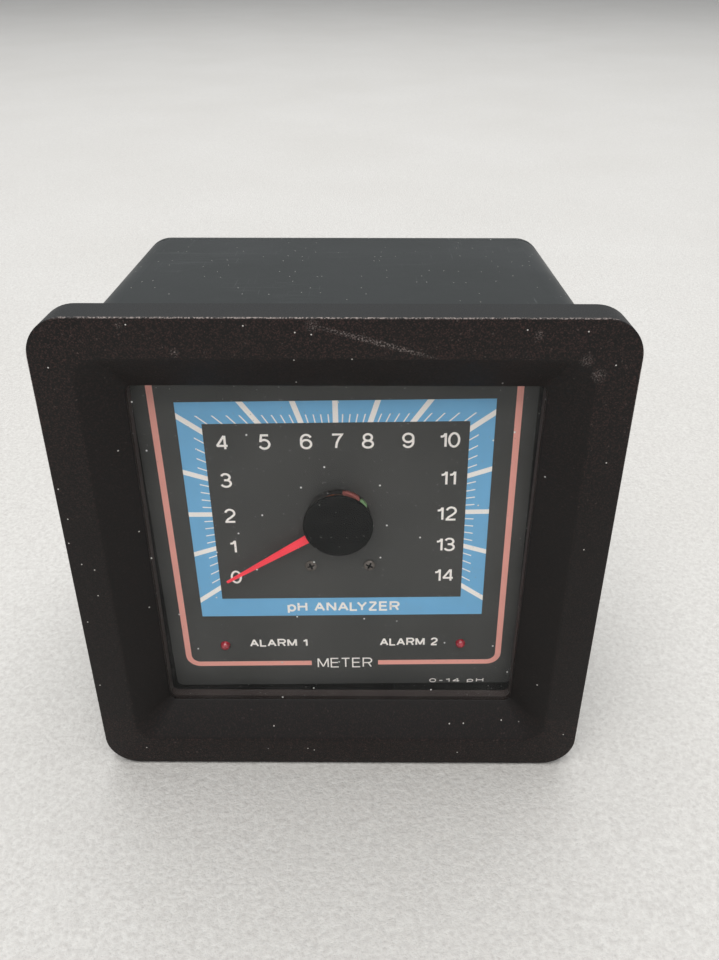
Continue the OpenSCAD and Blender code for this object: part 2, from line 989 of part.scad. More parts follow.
// Strap over the transformer with two feet on the main board
module transformer_bracket() {
    strap_t = 1;
    strap_w = 12;
    foot = 6;
    color("silver")
        translate([transformer_x, 0, transformer_z]) {
            difference() {
                block([-core_w / 2 - strap_t, core_front - strap_t, -strap_w / 2],
                    [core_w / 2 + strap_t, main_board_y, strap_w / 2]);
                block([-core_w / 2, core_front, -strap_w],
                    [core_w / 2, main_board_y + eps, strap_w]);
            }
            for (side = [-1, 1])
                translate([side * (core_w / 2 + strap_t + foot / 2 - eps), 0, 0])
                    block([-foot / 2, main_board_y - strap_t, -strap_w / 2],
                        [foot / 2, main_board_y, strap_w / 2]);
        }
}

// Sealed relay that switches one alarm circuit
module alarm_relay(z) {
    color([0.12, 0.22, 0.42])
        translate([relay_x, 0, z])
            block([-relay_w / 2, main_board_y - relay_d, -relay_h / 2],
                [relay_w / 2, main_board_y, relay_h / 2]);
}

module alarm_relay_1() {
    alarm_relay(relay_z1);
}

module alarm_relay_2() {
    alarm_relay(relay_z2);
}

module filter_capacitors() {
    color([0.1, 0.2, 0.45])
        for (x = capacitor_xs)
            turned_y([[0, main_board_y - capacitor_d], [capacitor_r - 1, main_board_y - capacitor_d],
                [capacitor_r, main_board_y - capacitor_d + 1], [capacitor_r, main_board_y - 3],
                [capacitor_r - 0.5, main_board_y - 2.6], [capacitor_r, main_board_y - 2],
                [capacitor_r, main_board_y], [0, main_board_y]], x, capacitor_z);
}

// Voltage regulator standing against its heat sink
module regulator() {
    body_w = 10;
    body_t = 4.5;
    body_front = main_board_y - 20;
    body_rear = main_board_y - 5;
    lead_pitch = 2.54;
    color([0.15, 0.15, 0.15])
        translate([sink_x, 0, sink_z])
            union() {
                block([-body_w / 2, body_front, -body_t], [body_w / 2, body_rear, 0]);
                for (k = [-1, 0, 1])
                    translate([k * lead_pitch, 0, -body_t / 2])
                        rod_y(0.4, body_rear - eps, main_board_y);
            }
}

// Finned aluminium heat sink
module heat_sink() {
    sink_w = 24;
    sink_front = main_board_y - 26;
    base_t = 2;
    fin_t = 1.5;
    fin_h = 11;
    fin_pitch = 5.5;
    color([0.6, 0.61, 0.63])
        translate([sink_x, 0, sink_z])
            union() {
                block([-sink_w / 2, sink_front, 0], [sink_w / 2, main_board_y, base_t]);
                for (k = [-2 : 2])
                    translate([k * fin_pitch, 0, 0])
                        block([-fin_t / 2, sink_front, base_t - eps], [fin_t / 2, main_board_y, fin_h]);
            }
}

// Dual in-line amplifier and comparator chips
module amplifier_chips() {
    chip_w = 19;
    chip_h = 6.4;
    chip_front = main_board_y - 4;
    chip_rear = main_board_y - 0.6;
    row_w = 18;
    row_z = 3.5;
    row_t = 0.8;
    row_front = main_board_y - 2.2;
    color([0.1, 0.1, 0.1])
        for (x = chip_xs)
            translate([x, 0, chip_z])
                union() {
                    block([-chip_w / 2, chip_front, -chip_h / 2], [chip_w / 2, chip_rear, chip_h / 2]);
                    for (side = [-1, 1])
                        block([-row_w / 2, row_front, side * row_z - row_t / 2],
                            [row_w / 2, main_board_y, side * row_z + row_t / 2]);
                }
}

// Flat cable between the two boards, with one fold
module ribbon_cable() {
    front = board_y + board_t + header_d;
    rear = main_board_y - header_d;
    fold = 6;
    fold_y = 42;
    fold_reach = 8;
    bend = 0.3;
    left = ribbon_x - ribbon_t / 2;
    right = ribbon_x + ribbon_t / 2;
    color([0.6, 0.6, 0.62])
        translate([0, 0, -ribbon_w / 2])
            linear_extrude(ribbon_w)
                polygon([[left, front],
                    [left, fold_y - fold_reach],
                    [left + fold, fold_y],
                    [left, fold_y + fold_reach],
                    [left, rear],
                    [right, rear],
                    [right, fold_y + fold_reach + bend],
                    [right + fold + bend, fold_y],
                    [right, fold_y - fold_reach - bend],
                    [right, front]]);
}

// Plug housings at the two ends of the flat cable
module ribbon_headers() {
    header_w = 5;
    header_h = ribbon_w + 4;
    color([0.1, 0.1, 0.1])
        for (y = [board_y + board_t, main_board_y - header_d])
            block([ribbon_x - header_w / 2, y, -header_h / 2],
                [ribbon_x + header_w / 2, y + header_d, header_h / 2]);
}

bezel();
window_pane();
window_retainer();
bezel_screws();
dial_plate();
dial_screws();
dial_spacers();
alarm_lamp_1();
alarm_lamp_2();
lamp_spacers();
pointer();
pointer_hub();
hub_cap();
pointer_counterweight();
spindle();
stop_arm();
rotor_magnet();
movement_frame();
front_bobbin();
rear_bobbin();
sine_coil();
cosine_coil();
front_bearing();
rear_bearing();
shield_can();
red_coil_lead();
green_coil_lead();
front_board();
board_screws();
case();
clamp_inserts();
seam_gasket();
rear_cover();
rear_cover_screws();
upper_terminal_block();
lower_terminal_block();
terminal_plates();
terminal_screws();
standardize_pot();
slope_pot();
alarm_1_pot();
alarm_2_pot();
standardize_shaft();
slope_shaft();
alarm_1_shaft();
alarm_2_shaft();
adjuster_nuts();
main_board();
board_standoffs();
transformer_core();
transformer_winding();
transformer_bracket();
alarm_relay_1();
alarm_relay_2();
filter_capacitors();
regulator();
heat_sink();
amplifier_chips();
ribbon_cable();
ribbon_headers();
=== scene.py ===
import json
import math

import bmesh
import bpy
from mathutils import Matrix, Vector


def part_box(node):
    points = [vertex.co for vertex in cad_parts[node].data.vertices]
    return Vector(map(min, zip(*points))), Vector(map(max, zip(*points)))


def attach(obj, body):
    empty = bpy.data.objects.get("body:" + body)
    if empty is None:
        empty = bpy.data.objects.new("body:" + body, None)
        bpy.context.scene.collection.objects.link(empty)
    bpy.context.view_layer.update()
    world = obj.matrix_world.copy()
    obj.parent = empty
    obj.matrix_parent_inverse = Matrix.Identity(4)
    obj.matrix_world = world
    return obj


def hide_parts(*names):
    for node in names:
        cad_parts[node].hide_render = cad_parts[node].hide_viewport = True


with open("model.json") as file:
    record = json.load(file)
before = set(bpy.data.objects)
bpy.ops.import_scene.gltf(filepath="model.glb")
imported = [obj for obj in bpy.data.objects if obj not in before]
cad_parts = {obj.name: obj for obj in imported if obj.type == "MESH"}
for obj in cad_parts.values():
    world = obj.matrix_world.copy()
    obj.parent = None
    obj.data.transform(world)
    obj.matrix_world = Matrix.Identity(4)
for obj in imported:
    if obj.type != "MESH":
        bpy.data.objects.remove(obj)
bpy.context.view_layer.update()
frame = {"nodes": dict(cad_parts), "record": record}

# The looks of a panel-mounted pH analyzer, built around its CAD frame. The dial faces -Y, and
# +Z is up. Sizes are in millimetres, which finish_mesh turns into metres; those of the floor,
# the lights and the camera are in metres.

MM = 0.001
HOUSING = "housing"
POINTER = "pointer_assembly"
ADJUSTERS = ("standardize", "slope", "alarm_1", "alarm_2")


def box_mm(node):
    """The lowest and highest corners of a CAD node, in millimetres."""
    low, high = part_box(node)
    return low / MM, high / MM


# -------------------- sizes taken from the frame

BEZEL_LOW, BEZEL_HIGH = box_mm("bezel")
WINDOW_LOW, WINDOW_HIGH = box_mm("window_pane")
CASE_LOW, CASE_HIGH = box_mm("case")
COVER_LOW, COVER_HIGH = box_mm("rear_cover")
CAP_LOW, CAP_HIGH = box_mm("hub_cap")

BEZEL_HALF = BEZEL_HIGH.x
BEZEL_FRONT = BEZEL_LOW.y
BEZEL_R = 9.8
RIM_INNER = BEZEL_HALF - 10
APERTURE = 52.3
LIP_Y = WINDOW_LOW.y
SLOPE_END = LIP_Y - 0.2
DIAL_Y = box_mm("dial_plate")[0].y
PIVOT_Z = (CAP_LOW.z + CAP_HIGH.z) / 2
CASE_HALF = CASE_HIGH.x
CASE_R = 9.0
COVER_Y = COVER_HIGH.y
DIAL_TURN = 0.9
CORNERS = ((1, 1), (-1, 1), (-1, -1), (1, -1))
CORNER_STEPS = 14


# -------------------- mesh tools

def cos(degrees):
    return math.cos(math.radians(degrees))


def sin(degrees):
    return math.sin(math.radians(degrees))


def add_object(name, data):
    """Puts a new object in the scene."""
    made = bpy.data.objects.new(name, data)
    bpy.context.scene.collection.objects.link(made)
    return made


def to_mesh(name, bm):
    """Turns a bmesh into a mesh and frees it."""
    mesh = bpy.data.meshes.new(name)
    bm.to_mesh(mesh)
    bm.free()
    return mesh


def smooth(mesh, angle=30):
    """Smooth shading, apart from edges above an angle in degrees."""
    mesh.shade_smooth()
    mesh.set_sharp_from_angle(angle=math.radians(angle))


def finish_mesh(name, bm, smooth_angle=30):
    """Turns a bmesh, in millimetres, into an object in metres with clean normals."""
    bmesh.ops.remove_doubles(bm, verts=bm.verts, dist=1e-5)
    bmesh.ops.recalc_face_normals(bm, faces=bm.faces)
    bmesh.ops.scale(bm, vec=Vector((MM, MM, MM)), verts=bm.verts)
    mesh = to_mesh(name, bm)
    smooth(mesh, smooth_angle)
    return add_object(name, mesh)


def arc(cx, cy, r, a0, a1, steps):
    """Points on an arc between two angles in degrees, both ends included."""
    angles = [a0 + (a1 - a0) * i / steps for i in range(steps + 1)]
    return [(cx + r * cos(a), cy + r * sin(a)) for a in angles]


def loft(bm, rings, closed=True):
    """Joins rings of 3-D points with quads. closed joins the last ring to the first;
    otherwise both ends get a face."""
    loops = [[bm.verts.new(p) for p in ring] for ring in rings]
    pairs = list(zip(loops, loops[1:]))
    if closed:
        pairs.append((loops[-1], loops[0]))
    for a, b in pairs:
        for i in range(len(a)):
            j = (i + 1) % len(a)
            bm.faces.new((a[i], a[j], b[j], b[i]))
    if not closed:
        bm.faces.new(loops[0])
        bm.faces.new(list(reversed(loops[-1])))


def frame_shell(bm, profile, closed=True):
    """A shell swept round a square with round corners; profile rows are (half width, corner
    radius, y)."""
    rings = []
    for half, r, y in profile:
        outline = []
        for k, (sx, sz) in enumerate(CORNERS):
            outline += arc(sx * (half - r), sz * (half - r), r, 90 * k, 90 * k + 90, CORNER_STEPS)
        rings.append([(x, y, z) for x, z in outline])
    loft(bm, rings, closed)


def lathe(bm, profile, x, z, steps):
    """A closed turned solid about a line parallel to Y; profile rows are (radius, y)."""
    loops = []
    for r, y in profile:
        angles = [360 * i / steps for i in range(steps if r else 1)]
        loops.append([bm.verts.new((x + r * cos(a), y, z + r * sin(a))) for a in angles])
    pairs = list(zip(loops, loops[1:]))
    if len(loops[0]) > 1 and len(loops[-1]) > 1:
        pairs.append((loops[-1], loops[0]))
    for a, b in pairs:
        for i in range(steps):
            j = (i + 1) % steps
            corners = [a[i % len(a)], a[j % len(a)], b[j % len(b)], b[i % len(b)]]
            unique = list(dict.fromkeys(corners))
            if len(unique) > 2:
                bm.faces.new(unique)


def bar(r, y0, y1):
    """The profile of a round bar."""
    return [(0, y0), (r, y0), (r, y1), (0, y1)]


def turned_piece(name, profile, x, z, steps):
    bm = bmesh.new()
    lathe(bm, profile, x, z, steps)
    return finish_mesh(name, bm)


def prism(bm, outline, y0, y1):
    """A flat outline of (x, z) points made solid from y0 to y1."""
    loft(bm, [[(x, y, z) for x, z in outline] for y in (y0, y1)], False)


def bevelled_box(bm, low, high, edge, segments=2):
    """A box from its lowest to its highest corner, with round edges."""
    made = bmesh.ops.create_cube(bm, size=1.0)["verts"]
    size = Vector(high) - Vector(low)
    centre = (Vector(high) + Vector(low)) / 2
    bmesh.ops.scale(bm, vec=size, verts=made)
    bmesh.ops.translate(bm, vec=centre, verts=made)
    edges = list({e for v in made for e in v.link_edges})
    bmesh.ops.bevel(bm, geom=edges, offset=edge, segments=segments, profile=0.5,
                    affect="EDGES")


# The lowest cosine of half a bend for which a line's corner is mitred in full
BLUNTEST = 0.55


def ribbon(bm, path, width, y0, y1, closed=False):
    """A line of constant width along a path of (x, z) points, made solid from y0 to y1."""
    count = len(path)
    points = [Vector(p) for p in path]
    sections = []
    for i, point in enumerate(points):
        before = points[i - 1] if closed or i else point
        after = points[(i + 1) % count] if closed or i < count - 1 else point
        into = (point - before).normalized() if before != point else None
        out = (after - point).normalized() if after != point else None
        along = ((into or out) + (out or into)).normalized()
        mitre = 1 / max(along.dot(into or out), BLUNTEST)
        side = Vector((-along.y, along.x)) * (mitre * width / 2)
        left, right = point + side, point - side
        sections.append([(left.x, y0, left.y), (left.x, y1, left.y),
                         (right.x, y1, right.y), (right.x, y0, right.y)])
    loft(bm, sections, closed)


def join(name, pieces):
    """Joins several mesh objects, all at the origin, into one."""
    bm = bmesh.new()
    for piece in pieces:
        mesh = piece.data
        bm.from_mesh(mesh)
        bpy.data.objects.remove(piece)
        bpy.data.meshes.remove(mesh)
    return add_object(name, to_mesh(name, bm))


def cut(piece, cutter):
    """Cuts one solid out of another and removes the cutter."""
    step = piece.modifiers.new("cut", "BOOLEAN")
    step.operation = "DIFFERENCE"
    step.solver = "EXACT"
    step.object = cutter
    graph = bpy.context.evaluated_depsgraph_get()
    mesh = bpy.data.meshes.new_from_object(piece.evaluated_get(graph))
    piece.modifiers.clear()
    old = piece.data
    piece.data = mesh
    bpy.data.meshes.remove(old)
    bpy.data.objects.remove(cutter)
    smooth(mesh)


# -------------------- lettering

def oval(cx, cz, rx, rz, a0, a1, steps=14):
    """Points on part of an ellipse between two angles in degrees."""
    return [(cx + rx * x, cz + rz * z) for x, z in arc(0, 0, 1, a0, a1, steps)]


def whole_oval(cx, cz, rx, rz):
    """A closed ellipse of 24 points."""
    return oval(cx, cz, rx, rz, 0, 345, 23)


def turned(path):
    """A stroke turned half round in a box 0.6 wide."""
    return [(0.6 - x, 1 - z) for x, z in path]


STEM = [(0, 0), (0, 1)]
SIX = oval(0.32, 0.62, 0.30, 0.38, 28, 180) + [(0.02, 0.32)]
SIX_BOWL = whole_oval(0.31, 0.31, 0.29, 0.31)
P_STROKE = [*STEM, *oval(0.42, 0.74, 0.24, 0.26, 90, -90, 10), (0, 0.48)]
# Each glyph is drawn as centre lines in a box 1 high
OPEN_STROKES = {
    "1": [[(0.02, 0.75), (0.15, 0.77), (0.25, 0.85), (0.30, 0.98)], [(0.32, 1.0), (0.32, 0)]],
    "2": [oval(0.3, 0.71, 0.27, 0.29, 170, -30) + [(0.36, 0.38), (0.14, 0.20), (0.03, 0.0)],
          [(-0.03, 0), (0.58, 0)]],
    "3": [oval(0.28, 0.755, 0.25, 0.245, 160, -90), oval(0.28, 0.265, 0.29, 0.265, 90, -160),
          [(0.18, 0.52), (0.3, 0.52)]],
    "4": [[(0.45, 0), (0.45, 1)], [(0.42, 0.99), (-0.02, 0.25)], [(-0.04, 0.25), (0.60, 0.25)]],
    "5": [[(0.54, 1), (0.13, 1), (0.06, 0.50)], oval(0.28, 0.33, 0.30, 0.33, 140, -155)],
    "6": [SIX],
    "7": [[(0.0, 1), (0.57, 1), (0.40, 0.72), (0.26, 0.38), (0.21, 0)]],
    "9": [turned(SIX)],
    "A": [[(0, 0), (0.36, 1)], [(0.36, 1), (0.72, 0)], [(0.12, 0.33), (0.60, 0.33)]],
    "E": [[(0.56, 1), (0, 1), (0, 0), (0.58, 0)], [(0, 0.52), (0.52, 0.52)]],
    "H": [STEM, [(0.64, 0), (0.64, 1)], [(0, 0.52), (0.64, 0.52)]],
    "I": [STEM],
    "L": [[(0, 1), (0, 0), (0.52, 0)]],
    "M": [STEM, [(0.78, 0), (0.78, 1)], [(0.02, 1), (0.39, 0.06)], [(0.76, 1), (0.39, 0.06)]],
    "N": [STEM, [(0.64, 0), (0.64, 1)], [(0.02, 1), (0.62, 0)]],
    "P": [P_STROKE],
    "R": [P_STROKE, [(0.40, 0.48), (0.62, 0)]],
    "S": [oval(0.3, 0.745, 0.26, 0.255, 20, 270) + oval(0.3, 0.245, 0.29, 0.245, 90, -160)[1:]],
    "T": [[(0, 1), (0.62, 1)], [(0.31, 1), (0.31, 0)]],
    "Y": [[(0, 1), (0.34, 0.45)], [(0.68, 1), (0.34, 0.45)], [(0.34, 0.48), (0.34, 0)]],
    "Z": [[(0.02, 1), (0.58, 1)], [(0.58, 0.98), (0.0, 0.02)], [(-0.02, 0), (0.60, 0)]],
    "p": [[(0, -0.28), (0, 0.74)]],
    "-": [[(0.02, 0.42), (0.34, 0.42)]],
}
CLOSED_STROKES = {
    "0": [whole_oval(0.3, 0.5, 0.29, 0.5)],
    "6": [SIX_BOWL],
    "8": [whole_oval(0.3, 0.755, 0.235, 0.245), whole_oval(0.3, 0.26, 0.29, 0.26)],
    "9": [turned(SIX_BOWL)],
    "D": [[*STEM, *oval(0.26, 0.5, 0.38, 0.5, 90, -90)]],
    "O": [whole_oval(0.38, 0.5, 0.38, 0.5)],
    "p": [whole_oval(0.27, 0.36, 0.27, 0.36)],
}
# How much closer some neighbouring letters stand, in shares of the letter height
KERNING = {"LY": 0.22, "LA": 0.07, "AL": 0.03, "YZ": 0.05, "LO": 0.06, "TA": 0.12}
WORD_SPACE = 0.45
USUAL_WIDTH = 1.14
STAGGER = 0.003


def lettering(words, x, z, y0, y1, height, weight, width=None, gap=0.13):
    """Raised print from y0 to y1, centred on (x, z). height and width are over the strokes,
    weight is the stroke's width, and gap is a share of the letter height. Strokes are staggered,
    so that the fronts of two that cross don't coincide."""
    tall = height - weight
    strokes = []
    at = 0.0
    for before, letter in zip(" " + words, words):
        if letter == " ":
            at += WORD_SPACE
            continue
        at -= KERNING.get(before + letter, 0.0)
        both = [(path, False) for path in OPEN_STROKES.get(letter, [])]
        both += [(path, True) for path in CLOSED_STROKES.get(letter, [])]
        left = min(p[0] for path, _ in both for p in path)
        right = max(p[0] for path, _ in both for p in path)
        strokes += [([(px - left + at, pz) for px, pz in path], shut) for path, shut in both]
        at += right - left + weight / tall + gap
    long = at - gap - weight / tall
    wide = (width - weight) / long if width else tall * USUAL_WIDTH
    bm = bmesh.new()
    for k, (path, shut) in enumerate(strokes):
        placed = [(x + (px - long / 2) * wide, z + (pz - 0.5) * tall) for px, pz in path]
        ribbon(bm, placed, weight, y0 + STAGGER * (k % 4), y1, shut)
    return finish_mesh("words", bm)


# -------------------- materials

class Look:
    """A Principled material, and short calls for the nodes that feed it. Texture positions
    are in millimetres in the part's frame."""

    def __init__(self, name, colour, roughness, metallic=0.0, specular=0.5, **inputs):
        self.material = bpy.data.materials.new(name)
        self.material.use_nodes = True
        self.tree = self.material.node_tree
        self.shader = self.tree.nodes["Principled BSDF"]
        self.fill(self.shader, Base_Color=(*colour, 1.0), Roughness=roughness,
                  Metallic=metallic, Specular_IOR_Level=specular, **inputs)
        self.place = self.node("Mapping", Vector=self.node("TexCoord").outputs["Object"],
                               Scale=(1 / MM,) * 3).outputs["Vector"]

    def put(self, value, socket):
        """Links a socket to another, or sets it to a number, position or colour."""
        if isinstance(value, bpy.types.NodeSocket):
            self.tree.links.new(value, socket)
        else:
            socket.default_value = value

    def fill(self, node, **inputs):
        """Puts a value in each named input, where _ stands for a space in the name."""
        for name, value in inputs.items():
            self.put(value, node.inputs[name.replace("_", " ")])
        return node

    def node(self, kind, **inputs):
        return self.fill(self.tree.nodes.new("ShaderNode" + kind), **inputs)

    def stretched(self, scale, turn=(0, 0, 0)):
        """The position, scaled and turned, for a pattern with a direction."""
        return self.node("Mapping", Vector=self.place, Scale=scale,
                         Rotation=[math.radians(a) for a in turn]).outputs["Vector"]

    def noise(self, size, detail=2.0, roughness=0.5, place=None):
        """Smooth noise from 0 to 1 whose features are about size millimetres."""
        return self.node("TexNoise", Vector=place or self.place, Scale=1 / size,
                         Detail=detail, Roughness=roughness).outputs["Fac"]

    def cells(self, size, place, dimensions="3D"):
        """Distance to the nearest of scattered points about size millimetres apart, and the
        colour of its cell."""
        cells = self.node("TexVoronoi", Vector=place, Scale=1 / size)
        cells.voronoi_dimensions = dimensions
        return cells.outputs["Distance"], cells.outputs["Color"]

    def waves(self, size, axis, distortion=0.0):
        """Parallel bands size millimetres apart along an axis."""
        waves = self.node("TexWave", Vector=self.place, Scale=2 * math.pi / (20 * size),
                          Distortion=distortion)
        waves.bands_direction = axis
        return waves.outputs["Fac"]

    def remap(self, value, low, high, to_low=0.0, to_high=1.0):
        """A value from low to high moved to another range, and held inside it."""
        return self.node("MapRange", Value=value, From_Min=low, From_Max=high, To_Min=to_low,
                         To_Max=to_high).outputs["Result"]

    def maths(self, operation, a, b):
        """A Math node on two sockets or numbers."""
        maths = self.node("Math")
        maths.operation = operation
        self.put(a, maths.inputs[0])
        self.put(b, maths.inputs[1])
        return maths.outputs[0]

    def times(self, a, b):
        return self.maths("MULTIPLY", a, b)

    def plus(self, a, b):
        return self.maths("ADD", a, b)

    def most(self, a, b):
        return self.maths("MAXIMUM", a, b)

    def mix(self, factor, a, b):
        """A colour mix; a and b are colours or sockets."""
        mix = self.node("Mix")
        mix.data_type = "RGBA"
        for value, index in ((factor, 0), (a, 6), (b, 7)):
            self.put((*value, 1.0) if isinstance(value, tuple) else value, mix.inputs[index])
        return mix.outputs[2]

    def attribute(self, name):
        attribute = self.node("Attribute")
        attribute.attribute_name = name
        return attribute.outputs["Fac"]

    def axis(self, which):
        """One coordinate of the position, in millimetres."""
        return self.node("SeparateXYZ", Vector=self.place).outputs[which]

    def up(self):
        """How far the surface faces up, from 0 to 1."""
        normal = self.node("NewGeometry").outputs["True Normal"]
        return self.remap(self.node("SeparateXYZ", Vector=normal).outputs["Z"], 0.2, 0.9)

    def against(self, operation, vector):
        """A number made from the position and a fixed vector."""
        maths = self.node("VectorMath")
        maths.operation = operation
        self.put(self.place, maths.inputs[0])
        self.put(vector, maths.inputs[1])
        return maths.outputs["Value"]

    def near(self, centre, reach):
        """1 at a point, falling to 0 at reach millimetres from it."""
        return self.remap(self.against("DISTANCE", centre), 0.0, reach, 1.0, 0.0)

    def specks(self, spacing, size, share, place):
        """Scattered round specks of a radius in millimetres: 1 inside a speck. share is how many
        cells have one, and place is a position whose X and Y run along the surface."""
        distance, colour = self.cells(spacing, place, "2D")
        inside = self.remap(distance, size / spacing, 0.6 * size / spacing)
        return self.times(inside, self.remap(colour, 1 - share, 1 - share + 0.01))

    def streak(self, start, end, half_width):
        """1 along a line between two (x, z) points, falling to 0 at half_width from it."""
        a, b = Vector(start), Vector(end)
        middle, along = (a + b) / 2, (b - a).normalized()
        half_length = (b - a).length / 2
        parts = []
        for direction, reach in ((along, half_length), (Vector((-along.y, along.x)), half_width)):
            dot = self.against("DOT_PRODUCT", (direction.x / reach, 0, direction.y / reach))
            centred = self.maths("SUBTRACT", dot, direction.dot(middle) / reach)
            parts.append(self.times(centred, centred))
        return self.remap(self.plus(*parts), 1.0, 0.3)

    def varied(self, size, dark, light, rough_low, rough_high, spread=0.25):
        """Colour and roughness that drift gently over the surface. spread is how far from its
        middle the drift has to be for the full roughness."""
        drift = self.noise(size, 4.0)
        self.fill(self.shader, Base_Color=self.mix(self.remap(drift, 0.3, 0.7), dark, light),
                  Roughness=self.remap(drift, 0.5 - spread, 0.5 + spread, rough_low, rough_high))

    def done(self, relief=None, depth=0.0, **inputs):
        """Feeds the shader, with a relief whose height 0..1 stands for depth millimetres, and
        returns the material."""
        if relief is not None:
            bump = self.node("Bump", Height=relief, Distance=depth * MM)
            inputs["Normal"] = bump.outputs["Normal"]
        self.fill(self.shader, **inputs)
        return self.material


# Centre (x, z) and reach of the scuffed spots on the bezel's rim
SCUFFS = [(47.2, 68.0, 1.5), (58.9, 61.6, 2.0), (62.2, 58.0, 2.2), (-37.3, 63.4, 1.4),
          (-49.4, 70.2, 1.2), (-5.0, 70.2, 2.0)]
# Both ends (x, z) and half width of the long scuff
LONG_SCUFF = ((-6.5, 70.6), (25.5, 61.8), 0.85)
FLAT_TO_FRONT = (1, 0, 1)


def scaled(colour, by):
    return tuple(c * by for c in colour)


def bezel_material():
    """Dark brown-black moulding: a spark-eroded front with a painted warm sheen and painted reddish
    glints where light falls on the top and the bottom slope, smoother sides, a front edge that is
    worn and carries a painted highlight stronger towards the top, and a few scuffs on the rim."""
    dark = (0.0085, 0.0072, 0.0068)
    look = Look("bezel_plastic", dark, 0.5, specular=0.22)
    front = look.attribute("front")
    moulded = look.remap(front, 0.0, 0.3)
    height = look.axis("Z")
    # Painted light: the share of light falling on the front, rising towards the top and on the
    # upward bottom slope
    lit = look.times(front, look.most(look.remap(height, 10.0, 66.0, 0.3, 1.0),
                                      look.remap(height, -50.0, -55.0, 0.0, 0.75)))
    body = look.mix(moulded, (0.011, 0.0115, 0.0115), dark)
    # Painted warm sheen: a reddish tint only where light falls
    _, tint = look.cells(0.3, look.stretched(FLAT_TO_FRONT))
    painted_warm_sheen = look.times(look.remap(tint, 0.5, 0.95), lit)
    body = look.mix(painted_warm_sheen, body, (0.048, 0.026, 0.023))
    # Painted glints: bright highlight specks only where light falls
    _, glint = look.cells(0.38, look.stretched(FLAT_TO_FRONT, (0, 31, 0)))
    painted_glints = look.times(look.remap(glint, 0.90, 0.99), lit)
    body = look.mix(look.times(painted_glints, 0.55), body, (0.15, 0.11, 0.10))
    broad = look.remap(look.noise(24.0, 3.0), 0.35, 0.75, 0.0, 0.22)
    body = look.mix(broad, body, (0.016, 0.014, 0.0135))
    # Worn front edge, partly a painted highlight: the bright edge is made stronger towards the top,
    # where light falls
    chips = look.remap(look.noise(0.55, 3.0, 0.7), 0.46, 0.60)
    edge_wear_and_highlight = look.times(look.attribute("front_edge_band"), chips)
    edge_wear_and_highlight = look.times(edge_wear_and_highlight, look.remap(height, 20.0, 70.0, 0.1, 1.0))
    patches = look.streak(*LONG_SCUFF)
    for x, z, reach in SCUFFS:
        patches = look.most(patches, look.near((x, BEZEL_FRONT, z), reach))
    scuffs = look.times(look.remap(look.noise(0.42, 4.0, 0.7), 0.50, 0.64), patches)
    body = look.mix(look.most(edge_wear_and_highlight, look.times(scuffs, 0.9)), body, (0.27, 0.225, 0.21))
    specks = look.specks(8.5, 0.22, 0.35, look.stretched(FLAT_TO_FRONT, (90, 0, 0)))
    body = look.mix(look.times(specks, moulded), body, (0.6, 0.57, 0.54))
    grain = look.noise(0.26, 3.0, 0.6)
    return look.done(look.times(grain, look.remap(front, 0.0, 1.0, 0.1, 1.0)), 0.10,
                     Base_Color=body, Roughness=look.remap(grain, 0.3, 0.7, 0.38, 0.62))


def case_material():
    """Smooth satin dark green-grey moulding with faint scratches, haze and dust."""
    look = Look("case_plastic", (0.03, 0.033, 0.033), 0.42, specular=0.24)
    drift = look.noise(38.0, 4.0)
    body = look.mix(look.remap(drift, 0.3, 0.7), (0.0095, 0.0118, 0.0118),
                    (0.0132, 0.0155, 0.0152))
    fine = look.noise(0.35)
    body = look.mix(look.remap(fine, 0.35, 0.75, 0.0, 0.4), body, (0.019, 0.022, 0.021))
    across = look.noise(0.35, 2.0, 0.4, look.stretched((0.02, 1.0, 1.0), (0, 0, 24)))
    along = look.noise(0.4, 2.0, 0.4, look.stretched((1.0, 0.03, 1.0), (0, 0, -11)))
    lines = look.most(look.remap(across, 0.66, 0.72), look.remap(along, 0.68, 0.74))
    scratches = look.times(look.remap(look.noise(30.0), 0.45, 0.62), lines)
    body = look.mix(look.times(scratches, 0.4), body, (0.11, 0.12, 0.12))
    dust = look.times(look.specks(5.5, 0.16, 0.4, look.stretched((1, 1, 0))), look.up())
    body = look.mix(dust, body, (0.55, 0.54, 0.5))
    return look.done(look.plus(fine, look.times(scratches, -0.6)), 0.012, Base_Color=body,
                     Roughness=look.remap(drift, 0.3, 0.7, 0.36, 0.5))


def window_material():
    """Clear sheet: mostly see-through, with a faint haze, wiping marks, and dust on its
    front face."""
    look = Look("window_clear", (0.80, 0.80, 0.78), 0.06, specular=0.4,
                Coat_Weight=0.6, Coat_Roughness=0.03)
    across = look.stretched(FLAT_TO_FRONT, (90, 0, 0))
    turned_across = look.stretched(FLAT_TO_FRONT, (90, 0, 40))
    haze = look.remap(look.noise(22.0, 3.0), 0.3, 0.7, 0.009, 0.018)
    fine = look.times(look.specks(3.4, 0.15, 0.5, across), 0.4)
    coarse = look.times(look.specks(11.0, 0.30, 0.45, turned_across), 0.95)
    wipes = look.remap(look.noise(1.2, 3.0, 0.6, look.stretched((0.1, 0.0, 1.0), (0, 35, 0))),
                       0.60, 0.78, 0.0, 0.03)
    dust = look.times(look.most(fine, coarse),
                      look.remap(look.axis("Y"), LIP_Y + 0.3, LIP_Y + 0.1))
    return look.done(Alpha=look.plus(look.most(haze, dust), wipes))


def dial_material():
    """Matt dark grey paint on the dial plate."""
    look = Look("dial_paint", (0.06, 0.06, 0.058), 0.6, specular=0.25)
    look.varied(30.0, (0.046, 0.047, 0.045), (0.056, 0.056, 0.053), 0.5, 0.62)
    return look.done(look.noise(0.4), 0.002)


